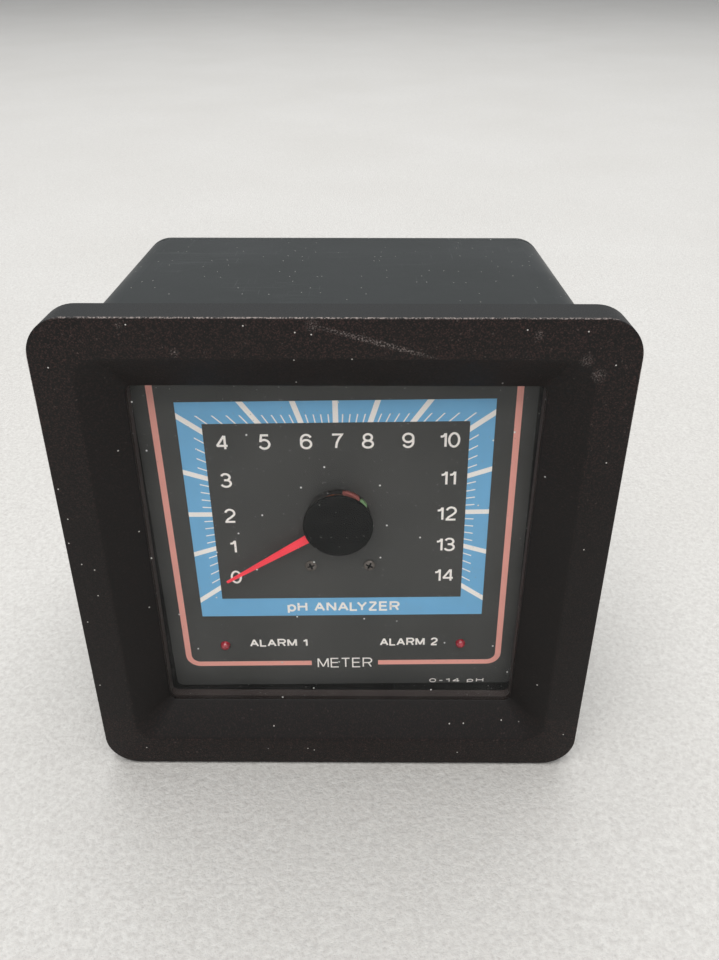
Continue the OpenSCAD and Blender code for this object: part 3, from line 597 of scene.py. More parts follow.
def ink_material(name, colour, roughness=0.5):
    """Screen-printed ink: an even colour with slight unevenness."""
    look = Look(name, colour, roughness, specular=0.25)
    look.varied(6.0, scaled(colour, 0.94), colour, roughness - 0.05, roughness + 0.08)
    return look.done(look.noise(0.4), 0.002)


def plastic_material(name, colour, roughness=0.45, specular=0.4, relief=0.01):
    """Moulded plastic with a fine skin and a drifting gloss."""
    look = Look(name, colour, roughness, specular=specular)
    look.varied(12.0, scaled(colour, 0.86), scaled(colour, 1.12), roughness - 0.06,
                roughness + 0.08, 0.2)
    return look.done(look.noise(0.3, 3.0), relief)


def metal_material(name, colour, roughness, tarnish=0.25):
    """Plated or machined metal with a faint brushed direction and tarnish."""
    look = Look(name, colour, roughness, 1.0)
    brushed = look.noise(0.12, 2.0, 0.6, look.stretched((1.0, 0.06, 1.0)))
    spots = look.remap(look.noise(2.2, 5.0, 0.65), 0.45, 0.72, 0.0, tarnish)
    gloss = look.remap(brushed, 0.3, 0.7, roughness - 0.08, roughness + 0.1)
    return look.done(brushed, 0.004, Base_Color=look.mix(spots, colour, scaled(colour, 0.55)),
                     Roughness=look.plus(gloss, spots))


def copper_material():
    """Enamelled copper wire, wound in fine even turns."""
    look = Look("copper_wire", (0.62, 0.25, 0.10), 0.3, 0.85, Coat_Weight=0.6)
    turns = look.waves(0.22, "DIAGONAL")
    return look.done(turns, 0.05,
                     Base_Color=look.mix(turns, (0.34, 0.11, 0.04), (0.72, 0.32, 0.14)))


def board_material():
    """Green circuit board: solder mask over copper runs, with fine weave."""
    look = Look("circuit_board", (0.02, 0.12, 0.05), 0.3, Coat_Weight=0.4)
    area = look.remap(look.noise(9.0, 1.0), 0.48, 0.5)
    runs = look.plus(look.times(look.waves(2.54, "X", 0.6), area),
                     look.times(look.waves(3.81, "Z", 0.9), look.maths("SUBTRACT", 1.0, area)))
    run = look.remap(runs, 0.62, 0.68)
    return look.done(look.plus(run, look.times(look.noise(0.5), 0.3)), 0.03,
                     Base_Color=look.mix(run, (0.014, 0.085, 0.035), (0.03, 0.19, 0.07)))


def lamination_material():
    """Varnished stack of thin steel sheets."""
    look = Look("lamination_steel", (0.12, 0.12, 0.13), 0.45, 0.8)
    sheets = look.waves(0.5, "Z")
    rust = look.remap(look.noise(4.0, 5.0, 0.7), 0.55, 0.75)
    body = look.mix(sheets, (0.05, 0.05, 0.055), (0.16, 0.16, 0.17))
    return look.done(sheets, 0.12, Base_Color=look.mix(rust, body, (0.14, 0.07, 0.04)))


def tape_material():
    """Yellow polyester tape, wrapped in overlapping turns."""
    look = Look("winding_tape", (0.62, 0.42, 0.06), 0.35, Coat_Weight=0.4)
    wraps = look.waves(7.0, "Y", 0.3)
    return look.done(look.plus(wraps, look.times(look.noise(1.4, 3.0), 0.4)), 0.06,
                     Base_Color=look.mix(wraps, (0.50, 0.31, 0.04), (0.70, 0.50, 0.10)))


def ribbon_material():
    """Grey flat cable with moulded conductors and one red edge."""
    look = Look("ribbon_grey", (0.4, 0.4, 0.42), 0.45)
    wires = look.waves(1.27, "Z", 0.0)
    body = look.mix(wires, (0.28, 0.28, 0.30), (0.46, 0.46, 0.47))
    edge = look.remap(look.axis("Z"), 6.9, 7.0)
    return look.done(wires, 0.25, Base_Color=look.mix(edge, body, (0.5, 0.05, 0.04)))


def lamp_material():
    """Red tinted lamp body, unlit, with a hazy core."""
    look = Look("red_lamp", (0.30, 0.012, 0.02), 0.16, Coat_Weight=1.0,
                Subsurface_Weight=0.35, Subsurface_Scale=0.0012)
    core = look.remap(look.noise(1.1), 0.35, 0.7)
    return look.done(Base_Color=look.mix(core, (0.24, 0.006, 0.016), (0.46, 0.012, 0.035)))


def pointer_material():
    """Fluorescent red paint, a little uneven along the pointer, with a faint painted glow from
    emission.
    """
    # Painted glow: a faint emission makes the pointer shine though it is no lamp
    look = Look("pointer_red", (0.95, 0.035, 0.06), 0.5, Emission_Strength=0.12,
                Emission_Color=(1.0, 0.03, 0.06, 1.0))
    look.varied(5.0, (0.86, 0.03, 0.055), (1.0, 0.05, 0.08), 0.42, 0.56)
    return look.done(look.noise(0.3), 0.006)


def table_material():
    """Pale table top with a fine pebbled skin."""
    look = Look("table", (0.60, 0.58, 0.555), 0.5, specular=0.4)
    broad = look.remap(look.noise(160.0, 3.0), 0.3, 0.7)
    pebble = look.noise(1.5, 4.0, 0.65)
    body = look.mix(broad, (0.585, 0.568, 0.540), (0.620, 0.605, 0.580))
    return look.done(pebble, 0.6, Base_Color=look.mix(look.remap(pebble, 0.35, 0.7, 0.0, 0.8),
                                                      body, (0.46, 0.44, 0.42)))


# Name, colour and roughness; then the specular level and the depth of the skin's relief
PLASTICS = [
    ("black_trim", (0.042, 0.033, 0.031), 0.5, 0.2),
    ("cap_black", (0.0018, 0.0022, 0.0022), 0.6, 0.06, 0.001),
    ("gasket_rubber", (0.006, 0.006, 0.006), 0.75),
    ("white_nylon", (0.68, 0.64, 0.54), 0.4),
    ("pot_body", (0.02, 0.05, 0.15), 0.4),
    ("relay_cover", (0.018, 0.05, 0.16), 0.35),
    ("red_wire", (0.42, 0.13, 0.11), 0.5),
    ("green_wire", (0.26, 0.46, 0.22), 0.5),
    ("jewel", (0.5, 0.03, 0.1), 0.15),
    ("magnet", (0.06, 0.06, 0.065), 0.5),
]
# Name, colour and roughness; then the tarnish
METALS = [
    ("zinc_steel", (0.60, 0.59, 0.56), 0.32),
    ("plated_contact", (0.68, 0.66, 0.60), 0.3),
    ("aluminium_plate", (0.70, 0.71, 0.72), 0.35),
    ("brass", (0.72, 0.53, 0.24), 0.28),
    ("dark_screw", (0.22, 0.195, 0.175), 0.5, 0.5),
]
SLOTS = {
    "bezel_plastic": bezel_material(),
    "case_plastic": case_material(),
    "window_clear": window_material(),
    "dial_paint": dial_material(),
    "red_lamp": lamp_material(),
    "pointer_red": pointer_material(),
    "copper_wire": copper_material(),
    "circuit_board": board_material(),
    "lamination_steel": lamination_material(),
    "winding_tape": tape_material(),
    "ribbon_grey": ribbon_material(),
    **{row[0]: plastic_material(*row) for row in PLASTICS},
    **{row[0]: metal_material(*row) for row in METALS},
}
WHITE_INK = ink_material("white_ink", (1.0, 0.95, 0.90))
BLUE_INK = ink_material("blue_ink", (0.18, 0.465, 0.745))
CORAL_INK = ink_material("coral_ink", (0.92, 0.41, 0.345))
DARK_FRAME = plastic_material("movement_paint", (0.045, 0.045, 0.043), 0.55, 0.25)
DARK_MASK = plastic_material("front_board_mask", (0.012, 0.012, 0.012), 0.5, 0.2)


def show(piece, body, slot, material=None, stands_for=()):
    """Gives a new piece its material, taken from its slot unless one is given, and lets it ride on
    its body.
    """
    piece.data.materials.clear()
    piece.data.materials.append(material or SLOTS[slot])
    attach(piece, body)
    if stands_for:
        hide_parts(*stands_for)
    return piece


# -------------------- bezel

def set_attribute(mesh, name, rule):
    """Stores rule(position in millimetres, normal) for every vertex."""
    layer = mesh.attributes.new(name, "FLOAT", "POINT")
    layer.data.foreach_set("value", [rule(v.co / MM, v.normal) for v in mesh.vertices])


def make_bezel():
    """The moulded bezel: rounded rim, sloped surround, lip, and pockets behind. The rows run
    from the rim's rear edge round the front to the pocket for the case."""
    edge = 0.3
    rim_round = 2.4
    rim_r = 6.6
    lip_round = 0.35
    lip_r = 2.0
    pocket = WINDOW_HIGH.x + 0.2
    seat = CASE_HALF + 0.3
    steps = 6
    rise = (SLOPE_END - BEZEL_FRONT) / (RIM_INNER - APERTURE)
    slope = math.degrees(math.atan(rise))
    rim_end = RIM_INNER + rim_round * math.tan(math.radians(slope) / 2)
    rows = [(BEZEL_HALF, BEZEL_R, y) for y in (0.0, BEZEL_FRONT + 2 * edge, BEZEL_FRONT + edge)]
    for a in (22.5, 45, 67.5, 90):
        inset = edge * (1 - cos(a))
        rows.append((BEZEL_HALF - inset, BEZEL_R - inset, BEZEL_FRONT + edge * (1 - sin(a))))
    rows.append((rim_end + 0.8, rim_r + 0.4, BEZEL_FRONT))
    for i in range(steps + 1):
        a = slope * i / steps
        rows.append((rim_end - rim_round * sin(a), rim_r - 0.6 * i / steps,
                     BEZEL_FRONT + rim_round * (1 - cos(a))))
    rows += [(APERTURE + lip_round, lip_r + 0.3, SLOPE_END - rise * lip_round),
             (APERTURE + 0.08, lip_r + 0.05, SLOPE_END - 0.02),
             (APERTURE, lip_r, SLOPE_END + 0.06), (APERTURE, lip_r, LIP_Y),
             (pocket, 3.0, LIP_Y), (pocket, 3.0, CASE_LOW.y),
             (seat, CASE_R + 0.3, CASE_LOW.y), (seat, CASE_R + 0.3, 0.0)]
    bm = bmesh.new()
    frame_shell(bm, rows)
    piece = finish_mesh("bezel_shell", bm, 35)
    set_attribute(piece.data, "front", lambda p, n: 0.0 if n.y > -0.45 or p.y > -1
                  else 1.0 if n.y < -0.95 else 0.4)
    set_attribute(piece.data, "front_edge_band", lambda p, n: 1.0 if p.y < BEZEL_FRONT + edge * 1.2
                  and max(abs(p.x), abs(p.z)) > BEZEL_HALF - edge else 0.0)
    show(piece, HOUSING, "bezel_plastic", stands_for=["bezel"])


make_bezel()


# -------------------- dial print

PRINT_T = 0.03
BAND_Y = DIAL_Y - PRINT_T
ON_DIAL = (BAND_Y, DIAL_Y)
ON_BAND = (BAND_Y - PRINT_T, BAND_Y)
BAND_OUT_X = 41.8
BAND_OUT_TOP = 35.5
BAND_OUT_BOTTOM = -34.7
BAND_IN_X = 35.25
BAND_IN_TOP = 29.2
BAND_IN_BOTTOM = -28.2
SCALE_START = 215.4
DEGREES_PER_UNIT = 17.914
SCALE_RISE = 1.0
UNITS = 14
MARKS_PER_UNIT = 5
MARK_FROM = 20.0
MARK_TO = 70.0
MAJOR_W = 1.45
MINOR_W = 0.32
MINOR_DEPTH = 2.4
LINE_X = 47.7
LINE_Z = -43.8
LINE_W = 1.75
LINE_TOP = 52.0
LINE_R = 3.4
GAP_LEFT = -9.8
GAP_RIGHT = 10.8


def show_print(piece, ink):
    """Print on the dial, turned about the pointer's axis as the real plate sits."""
    axis = Vector((0, 0, PIVOT_Z)) * MM
    turn = Matrix.Rotation(math.radians(-DIAL_TURN), 4, "Y")
    piece.data.transform(Matrix.Translation(axis) @ turn @ Matrix.Translation(-axis))
    show(piece, HOUSING, "dial_paint", ink)


def make_band():
    """Blue frame round the scale."""
    rings = []
    for x, low, high, ys in ((BAND_OUT_X, BAND_OUT_BOTTOM, BAND_OUT_TOP, ON_DIAL),
                             (BAND_IN_X, BAND_IN_BOTTOM, BAND_IN_TOP, ON_DIAL[::-1])):
        for y in ys:
            rings.append([(x, y, PIVOT_Z + low), (x, y, PIVOT_Z + high),
                          (-x, y, PIVOT_Z + high), (-x, y, PIVOT_Z + low)])
    bm = bmesh.new()
    loft(bm, rings)
    show_print(finish_mesh("scale_band", bm), BLUE_INK)


def clip(outline, a, b, limit):
    """The part of a convex outline where a*x + b*z <= limit."""
    kept = []
    for i, p in enumerate(outline):
        q = outline[(i + 1) % len(outline)]
        dp, dq = a * p[0] + b * p[1] - limit, a * q[0] + b * q[1] - limit
        if dp <= 0:
            kept.append(p)
        if dp * dq < 0:
            t = dp / (dp - dq)
            kept.append((p[0] + t * (q[0] - p[0]), p[1] + t * (q[1] - p[1])))
    return kept


def mark(bm, value, width, major):
    """One scale mark, cut off square with the edges of the band."""
    angle = SCALE_START - DEGREES_PER_UNIT * value
    c, s = cos(angle), sin(angle)
    outline = [(r * c - side * s, SCALE_RISE + r * s + side * c) for r, side in (
        (MARK_FROM, width / 2), (MARK_FROM, -width / 2), (MARK_TO, -width / 2),
        (MARK_TO, width / 2))]
    if (BAND_IN_TOP - SCALE_RISE) * abs(c) < BAND_IN_X * s:
        outline = clip(outline, 0, -1, -BAND_IN_TOP)
    else:
        outline = clip(outline, -1 if c > 0 else 1, 0, -BAND_IN_X)
    x_end = BAND_OUT_X if major else BAND_IN_X + MINOR_DEPTH
    z_end = BAND_OUT_TOP if major else BAND_IN_TOP + MINOR_DEPTH
    for a, b, limit in ((1, 0, x_end), (-1, 0, x_end), (0, 1, z_end), (0, -1, -BAND_OUT_BOTTOM)):
        outline = clip(outline, a, b, limit)
    prism(bm, [(x, z + PIVOT_Z) for x, z in outline], *ON_BAND)


def make_marks():
    """White scale marks: one for each unit and four fine ones between."""
    bm = bmesh.new()
    for step in range(UNITS * MARKS_PER_UNIT + 1):
        major = step % MARKS_PER_UNIT == 0
        mark(bm, step / MARKS_PER_UNIT, MAJOR_W if major else MINOR_W, major)
    show_print(finish_mesh("scale_marks", bm), WHITE_INK)


def make_digits():
    """Numbers 0 to 14 round the inside of the band, placed from the pointer's axis."""
    rows = [-20.3, -9.6, 0.75, 12.1, 23.7]
    places = [(-30.4, z) for z in rows]
    places += [(x, rows[-1]) for x in (-19.1, -8.0, 0.25, 8.4, 19.1)]
    places += [(30.1, z) for z in reversed(rows)]
    pieces = [lettering(str(value), x, PIVOT_Z + z, *ON_DIAL, height=4.6, weight=0.62, gap=0.05)
              for value, (x, z) in enumerate(places)]
    show_print(join("scale_numbers", pieces), WHITE_INK)


def make_words():
    """Generic lettering on the dial."""
    words = [lettering("pH ANALYZER", 0.6, PIVOT_Z - 31.4, *ON_BAND, height=3.5, weight=0.64,
                       width=33.4, gap=0.07)]
    for x, text in ((-19.6, "ALARM 1"), (20.2, "ALARM 2")):
        words.append(lettering(text, x, PIVOT_Z - 45.2, *ON_DIAL, height=3.05, weight=0.55,
                               width=17.7, gap=0.08))
    words.append(lettering("METER", 0.5, LINE_Z, *ON_DIAL, height=3.9, weight=0.42, width=17.0))
    words.append(lettering("0-14 pH", 35.4, LINE_Z - 7.6, *ON_DIAL, height=1.6, weight=0.30,
                           width=17.0))
    show_print(join("dial_lettering", words), WHITE_INK)


def make_line():
    """Coral line down both sides and along the bottom, with a gap for the word."""
    bm = bmesh.new()
    for way, gap in ((-1, GAP_LEFT), (1, GAP_RIGHT)):
        bend = arc(LINE_X - LINE_R, LINE_Z + LINE_R, LINE_R, 0, -90, 10)
        path = [(way * x, z) for x, z in ((LINE_X, LINE_TOP), *bend)]
        ribbon(bm, [*path, (gap, LINE_Z)], LINE_W, *ON_DIAL)
    show_print(finish_mesh("border_line", bm), CORAL_INK)


make_band()
make_marks()
make_digits()
make_words()
make_line()


# -------------------- parts on the dial

LAMP_R = 1.5
LAMP_FLANGE_AT = 4.7
DIAL_SCREW_R = 1.65
OVERLAP = 0.02


def make_hub_cap():
    """The disc over the pointer's hub, with a rounded front edge."""
    edge = 0.22
    r = (CAP_HIGH.x - CAP_LOW.x) / 2
    corner = [(r - edge + edge * sin(a), CAP_LOW.y + edge - edge * cos(a)) for a in (0, 30, 60, 90)]
    profile = [(0, CAP_LOW.y), *corner, (r, CAP_HIGH.y), (0, CAP_HIGH.y)]
    show(turned_piece("hub_disc", profile, 0, PIVOT_Z, 96), POINTER, "cap_black",
         stands_for=["hub_cap"])


def make_lamp(node):
    """A 3 mm lamp: a smooth dome on a straight body, a base flange and two leads."""
    low, high = box_mm(node)
    x, _, z = (low + high) / 2
    flange_y = low.y + LAMP_FLANGE_AT
    flange_r = LAMP_R + 0.4
    dome = [(LAMP_R * sin(a), low.y + LAMP_R - LAMP_R * cos(a)) for a in range(0, 91, 10)]
    bm = bmesh.new()
    lathe(bm, [*dome, (LAMP_R, flange_y), (flange_r - 0.05, flange_y), (flange_r, flange_y + 0.1),
               (flange_r, flange_y + 1), (0, flange_y + 1)], x, z, 40)
    half = 0.22
    for lead in (x - 0.8, x + 0.8):
        bevelled_box(bm, (lead - half, flange_y + 0.9, z - half), (lead + half, high.y, z + half),
                     0.05, 1)
    show(finish_mesh(node + "_lens", bm), HOUSING, "red_lamp", stands_for=[node])


def cross_outline(cross, x, z, turn, long_arm=1.0):
    """The outline of a cross recess; long_arm stretches one of its bars."""
    w, short = cross * 0.15, cross / 2
    long = long_arm * short
    corners = [(long, -w), (long, w), (w, w), (w, short), (-w, short), (-w, w), (-long, w),
               (-long, -w), (-w, -w), (-w, -short), (w, -short), (w, -w)]
    c, s = cos(turn), sin(turn)
    return [(x + px * c - pz * s, z + px * s + pz * c) for px, pz in corners]


def screw(x, y, z, turn, r, t, cross, depth, shank_r, shank_end, way=-1, long_arm=1.0,
          steps=16):
    """A pan screw with a cross recess, as its head and its shank. y is the head's underside,
    and r and t are its radius and thickness. way is +1 for a head that faces -Y, and long_arm
    above 1 makes one bar of the cross a slot for a flat driver as well."""
    dome = [(0.0, -t), (r * 0.45, -t * 0.98), (r * 0.75, -t * 0.88), (r * 0.92, -t * 0.68),
            (r, -t * 0.4), (r, 0.0), (0.0, 0.0)]
    head = turned_piece("head", [(a, y + way * b) for a, b in dome], x, z, 36)
    bm = bmesh.new()
    ys = sorted((y - way * (t + 0.5), y - way * (t - depth)))
    prism(bm, cross_outline(cross, x, z, turn, long_arm), *ys)
    cut(head, finish_mesh("recess", bm))
    ys = sorted((y - way * OVERLAP, shank_end))
    return [head, turned_piece("shank", bar(shank_r, *ys), x, z, steps)]


def make_dial_screws():
    """The two screws beside the hub opening, with a near-black painted-shadow piece at the bottom
    of each recess.
    """
    low, high = box_mm("dial_screws")
    middle = (low + high) / 2
    reach = (high.x - low.x) / 2 - DIAL_SCREW_R
    rise = reach * math.tan(math.radians(DIAL_TURN))
    pieces = []
    bm = bmesh.new()
    for side, turn in ((-1, 20), (1, 65)):
        x, z = middle.x + side * reach, middle.z + side * rise
        pieces += screw(x, DIAL_Y, z, turn, r=DIAL_SCREW_R, t=DIAL_Y - low.y, cross=2.35,
                        depth=0.45, shank_r=0.9, shank_end=high.y, way=1, steps=24)
        # Painted shadow: a near-black cross at the bottom of each recess stands for the shade in it
        prism(bm, cross_outline(2.2, x, z, turn), low.y + 0.38, DIAL_Y - 0.1)
    show(join("dial_screw_pair", pieces), HOUSING, "dark_screw", stands_for=["dial_screws"])
    show(finish_mesh("dial_screw_recess_shadow", bm), HOUSING, "dark_screw", SLOTS["cap_black"])


def tube(bm, path, r, steps=12):
    """A round wire along a path of 3-D points, with closed ends."""
    rings = []
    for i, point in enumerate(path):
        along = (path[min(i + 1, len(path) - 1)] - path[max(i - 1, 0)]).normalized()
        side = along.cross(Vector((0, 1, 0))).normalized()
        up = side.cross(along)
        rings.append([point + r * (cos(a) * side + sin(a) * up)
                      for a in [360 * k / steps for k in range(steps)]])
    loft(bm, rings, False)


def make_lead_wires():
    """The thinner strands that lie beside each coil lead in the hub opening."""
    for slot, ring, ends in (("red_wire", 7.7, (48, 75)), ("green_wire", 8.1, (26, 36))):
        name = slot.split("_")[0] + "_coil_lead"
        y = box_mm(name)[0].y + 0.62
        bm = bmesh.new()
        for offset in (-0.62, 0.62):
            points = arc(0, PIVOT_Z, ring + offset, *ends, 10)
            tube(bm, [Vector((x, y, z)) for x, z in points], 0.27)
        show(finish_mesh(name + "_strands", bm), HOUSING, slot)


make_hub_cap()
make_lamp("alarm_lamp_1")
make_lamp("alarm_lamp_2")
make_dial_screws()
make_lead_wires()


# -------------------- rear

BLOCK_LOW, BLOCK_HIGH = box_mm("upper_terminal_block")
BLOCK_Z = (BLOCK_LOW.z + BLOCK_HIGH.z) / 2
PLATES_Y = box_mm("terminal_plates")[1].y
NUTS_LOW, NUTS_HIGH = box_mm("adjuster_nuts")
SHAFTS = {name: box_mm(name + "_shaft") for name in ADJUSTERS}
SHAFT_X = {name: (low.x + high.x) / 2 for name, (low, high) in SHAFTS.items()}
TERMINALS = 8
BARRIER_T = 1.6
TERMINAL_PITCH = (BLOCK_HIGH.x - BLOCK_LOW.x - 6) / TERMINALS
TERMINAL_X = [(i - (TERMINALS - 1) / 2) * TERMINAL_PITCH for i in range(TERMINALS)]
BASE_Y = COVER_Y + 4
COVER_SCREW_XZ = 58.5
STANDOFF_XZ = 50.0
SCREW_HOLE_R = 1.6
BUSH_HOLE_R = 3.55
BUSH_R = 3.5
THREAD_PITCH = 0.5


def make_rear_cover():
    """Flat cover with softened edges and a hole for every screw and bush."""
    edge = 0.5
    rows = [(CASE_HALF - edge * (1 - sin(a)), CASE_R - edge * (1 - sin(a)),
             COVER_LOW.y + edge * (1 - cos(a))) for a in (0, 30, 60, 90)]
    rows += [(half, r, COVER_LOW.y + COVER_Y - y) for half, r, y in reversed(rows)]
    bm = bmesh.new()
    frame_shell(bm, rows, False)
    cover = finish_mesh("rear_cover_sheet", bm)
    holes = [(sx * d, sz * d, SCREW_HOLE_R) for d in (COVER_SCREW_XZ, STANDOFF_XZ)
             for sx, sz in CORNERS]
    holes += [(SHAFT_X[name], 0.0, BUSH_HOLE_R) for name in ADJUSTERS]
    bm = bmesh.new()
    for x, z, r in holes:
        lathe(bm, bar(r, COVER_LOW.y - 1, COVER_Y + 1), x, z, 32)
    cut(cover, finish_mesh("cover_holes", bm))
    show(cover, HOUSING, "case_plastic", stands_for=["rear_cover"])


def make_terminal_block(node):
    """A moulded base strip with a rounded barrier on each side of every terminal."""
    low, high = box_mm(node)
    bm = bmesh.new()
    bevelled_box(bm, (low.x, low.y, low.z), (high.x, BASE_Y, high.z), 0.35)
    for i in range(TERMINALS + 1):
        x = (i - TERMINALS / 2) * TERMINAL_PITCH
        bevelled_box(bm, (x - BARRIER_T / 2, low.y, low.z + 0.02),
                     (x + BARRIER_T / 2, high.y, high.z - 0.02), 0.45, 3)
    show(finish_mesh(node + "_body", bm), HOUSING, "black_trim", stands_for=[node])


def make_terminal_screws():
    """One clamping screw on each contact, each left at its own angle."""
    low, high = box_mm("terminal_screws")
    pieces = []
    for row, z in enumerate((BLOCK_Z, -BLOCK_Z)):
        for i, x in enumerate(TERMINAL_X):
            pieces += screw(x, PLATES_Y, z, (37 * i + 61 * row) % 90, r=2.9,
                            t=high.y - PLATES_Y, cross=2.6, depth=0.9, shank_r=1.38,
                            shank_end=low.y, long_arm=2.4)
    show(join("terminal_clamp_screws", pieces), HOUSING, "zinc_steel",
         stands_for=["terminal_screws"])


def make_cover_screws():
    """Pan-head screws of the cover and, further in, those of the standoffs."""
    low, high = box_mm("rear_cover_screws")
    pieces = []
    for d, r, shank_end in ((COVER_SCREW_XZ, 2.6, low.y), (STANDOFF_XZ, 2.3, COVER_Y - 7)):
        for k, (sx, sz) in enumerate(CORNERS):
            pieces += screw(sx * d, COVER_Y, sz * d, 29 * k + 8 * r, r=r, t=high.y - COVER_Y,
                            cross=r * 1.25, depth=1.0, shank_r=1.24, shank_end=shank_end)
    show(join("cover_pan_screws", pieces), HOUSING, "zinc_steel",
         stands_for=["rear_cover_screws"])


def make_nuts():
    """Hexagon nuts with chamfered corners on the adjusters' bushes."""
    flat_r = (NUTS_HIGH.z - NUTS_LOW.z) / 2
    steps = 72
    bm = bmesh.new()
    for name in ADJUSTERS:
        rings = [[], [], [], [], []]
        for a in [360 * i / steps for i in range(steps)]:
            hexagon = flat_r / cos(a % 60 - 30)
            chamfer_y = NUTS_HIGH.y - 0.06 - 0.55 * (hexagon - flat_r)
            section = ((hexagon, NUTS_LOW.y), (hexagon, chamfer_y), (flat_r - 0.08, NUTS_HIGH.y),
                       (BUSH_HOLE_R, NUTS_HIGH.y), (BUSH_HOLE_R, NUTS_LOW.y))
            for ring, (r, y) in zip(rings, section):
                ring.append((SHAFT_X[name] + r * cos(a), y, r * sin(a)))
        loft(bm, rings)
    show(finish_mesh("adjuster_hex_nuts", bm, 20), HOUSING, "zinc_steel",
         stands_for=["adjuster_nuts"])


def make_adjuster(name):
    """One adjuster: a moulded body with pins, a threaded bush, and a slotted shaft."""
    low, high = box_mm(name + "_pot")
    shaft_low, shaft_high = SHAFTS[name]
    x = SHAFT_X[name]
    body_r = (high.x - low.x) / 2
    shaft_r = (shaft_high.x - shaft_low.x) / 2
    bore_r = shaft_r + 0.03
    body_depth = 8.5
    pin_pitch = 4
    seat = COVER_LOW.y
    front = seat - body_depth
    bm = bmesh.new()
    lathe(bm, [(0, front), (body_r - 0.5, front), (body_r, front + 0.5), (body_r, seat),
               (bore_r, seat), (bore_r, shaft_low.y - 0.3), (0, shaft_low.y - 0.3)], x, 0, 64)
    for pin in (x - pin_pitch, x, x + pin_pitch):
        lathe(bm, bar(0.5, low.y, front + 0.01), pin, -5, 12)
    show(finish_mesh(name + "_pot_body", bm), HOUSING, "pot_body", stands_for=[name + "_pot"])
    rows = [(bore_r, seat), (BUSH_R, seat)]
    for k in range(int((high.y - seat - 0.6) / THREAD_PITCH)):
        y = seat + 0.3 + THREAD_PITCH * k
        rows += [(BUSH_R, y), (BUSH_R - 0.26, y + THREAD_PITCH / 2)]
    rows += [(BUSH_R, high.y - 0.3), (BUSH_R - 0.25, high.y), (bore_r + 0.15, high.y),
             (bore_r, high.y - 0.15)]
    show(turned_piece(name + "_bush", rows, x, 0, 40), HOUSING, "zinc_steel")
    rows = [(0, shaft_low.y), (shaft_r, shaft_low.y), (shaft_r, shaft_high.y - 0.35),
            (shaft_r - 0.35, shaft_high.y), (0, shaft_high.y)]
    shaft = turned_piece(name + "_slotted_shaft", rows, x, 0, 48)
    bm = bmesh.new()
    bevelled_box(bm, (x - 4, shaft_high.y - 1.2, -0.45), (x + 4, shaft_high.y + 1, 0.45), 0.05, 1)
    cut(shaft, finish_mesh(name + "_slot", bm))
    show(shaft, name + "_adjuster", "brass", stands_for=[name + "_shaft"])


def make_rear_print():
    """Terminal numbers and the names of the adjusters, printed on the cover. The print is
    drawn facing -Y and then turned to face the rear, so x is mirrored here."""
    thick = 0.04
    ys = (-COVER_Y - thick, -COVER_Y)
    pieces = []
    for row, z in enumerate((BLOCK_HIGH.z + 3.2, 3.2 - BLOCK_LOW.z)):
        for i, x in enumerate(TERMINAL_X):
            number = str(TERMINALS * row + i + 1)
            pieces.append(lettering(number, x, z, *ys, height=2.7, weight=0.36, gap=0.1))
    for name in ADJUSTERS:
        words = name.replace("_", " ").upper()
        pieces.append(lettering(words, -SHAFT_X[name], -10.2, *ys, height=2.3, weight=0.32,
                                width=1.75 * len(words) + 1, gap=0.12))
    made = join("rear_print", pieces)
    made.data.transform(Matrix.Rotation(math.pi, 4, "Z"))
    show(made, HOUSING, "case_plastic", WHITE_INK)


make_rear_cover()
make_terminal_block("upper_terminal_block")
make_terminal_block("lower_terminal_block")
make_terminal_screws()
make_cover_screws()
make_nuts()
for adjuster in ADJUSTERS:
    make_adjuster(adjuster)
make_rear_print()


# -------------------- CAD nodes that stay

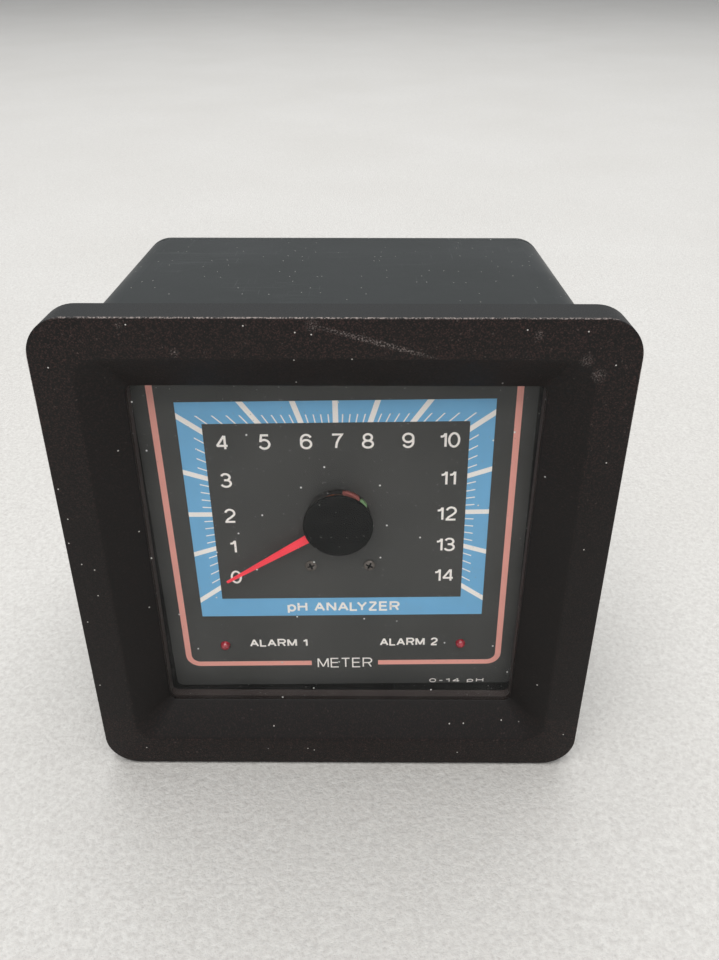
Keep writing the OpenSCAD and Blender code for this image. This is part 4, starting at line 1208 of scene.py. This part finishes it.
OWN_LOOKS = {"movement_frame": DARK_FRAME, "front_board": DARK_MASK}
slot_of = {row["node"]: row["material_slot"] for row in frame["record"]["subparts"]}
for node, piece in frame["nodes"].items():
    piece.data.materials.clear()
    piece.data.materials.append(OWN_LOOKS.get(node, SLOTS[slot_of[node]]))


# -------------------- stage, light and camera

def make_floor():
    """A pale floor under the two edges that the object rests on: the bezel's lower rear edge
    and the rear cover's lower rear edge."""
    front = Vector((0, 0, BEZEL_LOW.z)) * MM
    rear = Vector((0, COVER_Y, COVER_LOW.z)) * MM
    slope = math.atan2(rear.z - front.z, rear.y - front.y)
    reach = 6.0
    bm = bmesh.new()
    bmesh.ops.create_grid(bm, x_segments=2, y_segments=2, size=reach)
    mesh = to_mesh("table_top", bm)
    mesh.transform(Matrix.Translation(front) @ Matrix.Rotation(slope, 4, "X"))
    mesh.materials.append(table_material())
    floor = add_object("table_top", mesh)


def add_area(name, place, aim, size, power, colour):
    """A rectangular light at a place, aimed at a point."""
    light = bpy.data.lights.new(name, "AREA")
    light.shape = "RECTANGLE"
    light.size, light.size_y = size
    light.energy = power
    light.color = colour
    lamp = add_object(name, light)
    lamp.location = place
    lamp.rotation_euler = (Vector(aim) - Vector(place)).to_track_quat("-Z", "Y").to_euler()


def make_light():
    """Soft light from above and in front, with a pale surround."""
    world = bpy.data.worlds.new("surround")
    world.use_nodes = True
    background = world.node_tree.nodes["Background"]
    background.inputs["Color"].default_value = (0.95, 0.975, 1.0, 1.0)
    background.inputs["Strength"].default_value = 0.46
    bpy.context.scene.world = world
    bpy.context.scene.view_settings.view_transform = "Standard"
    add_area("key", (-0.2, -1.3, 2.6), (0, 0, 0), (2.6, 2.0), 62.0, (1.0, 0.985, 0.96))
    add_area("top", (0.1, 0.9, 2.4), (0, 0.3, 0), (2.8, 2.2), 56.0, (0.97, 0.99, 1.0))


def make_camera():
    """A hand-held view from a little above and in front."""
    camera = bpy.data.cameras.new("camera")
    camera.sensor_width = 36.0
    camera.lens = 31.32
    camera.clip_start = 0.01
    eye = add_object("camera", camera)
    eye.location = (0.00654, -0.19378, 0.13382)
    eye.rotation_euler = [math.radians(a) for a in (60.38, -0.05, 0.24)]
    bpy.context.scene.camera = eye


make_floor()
make_light()
make_camera()
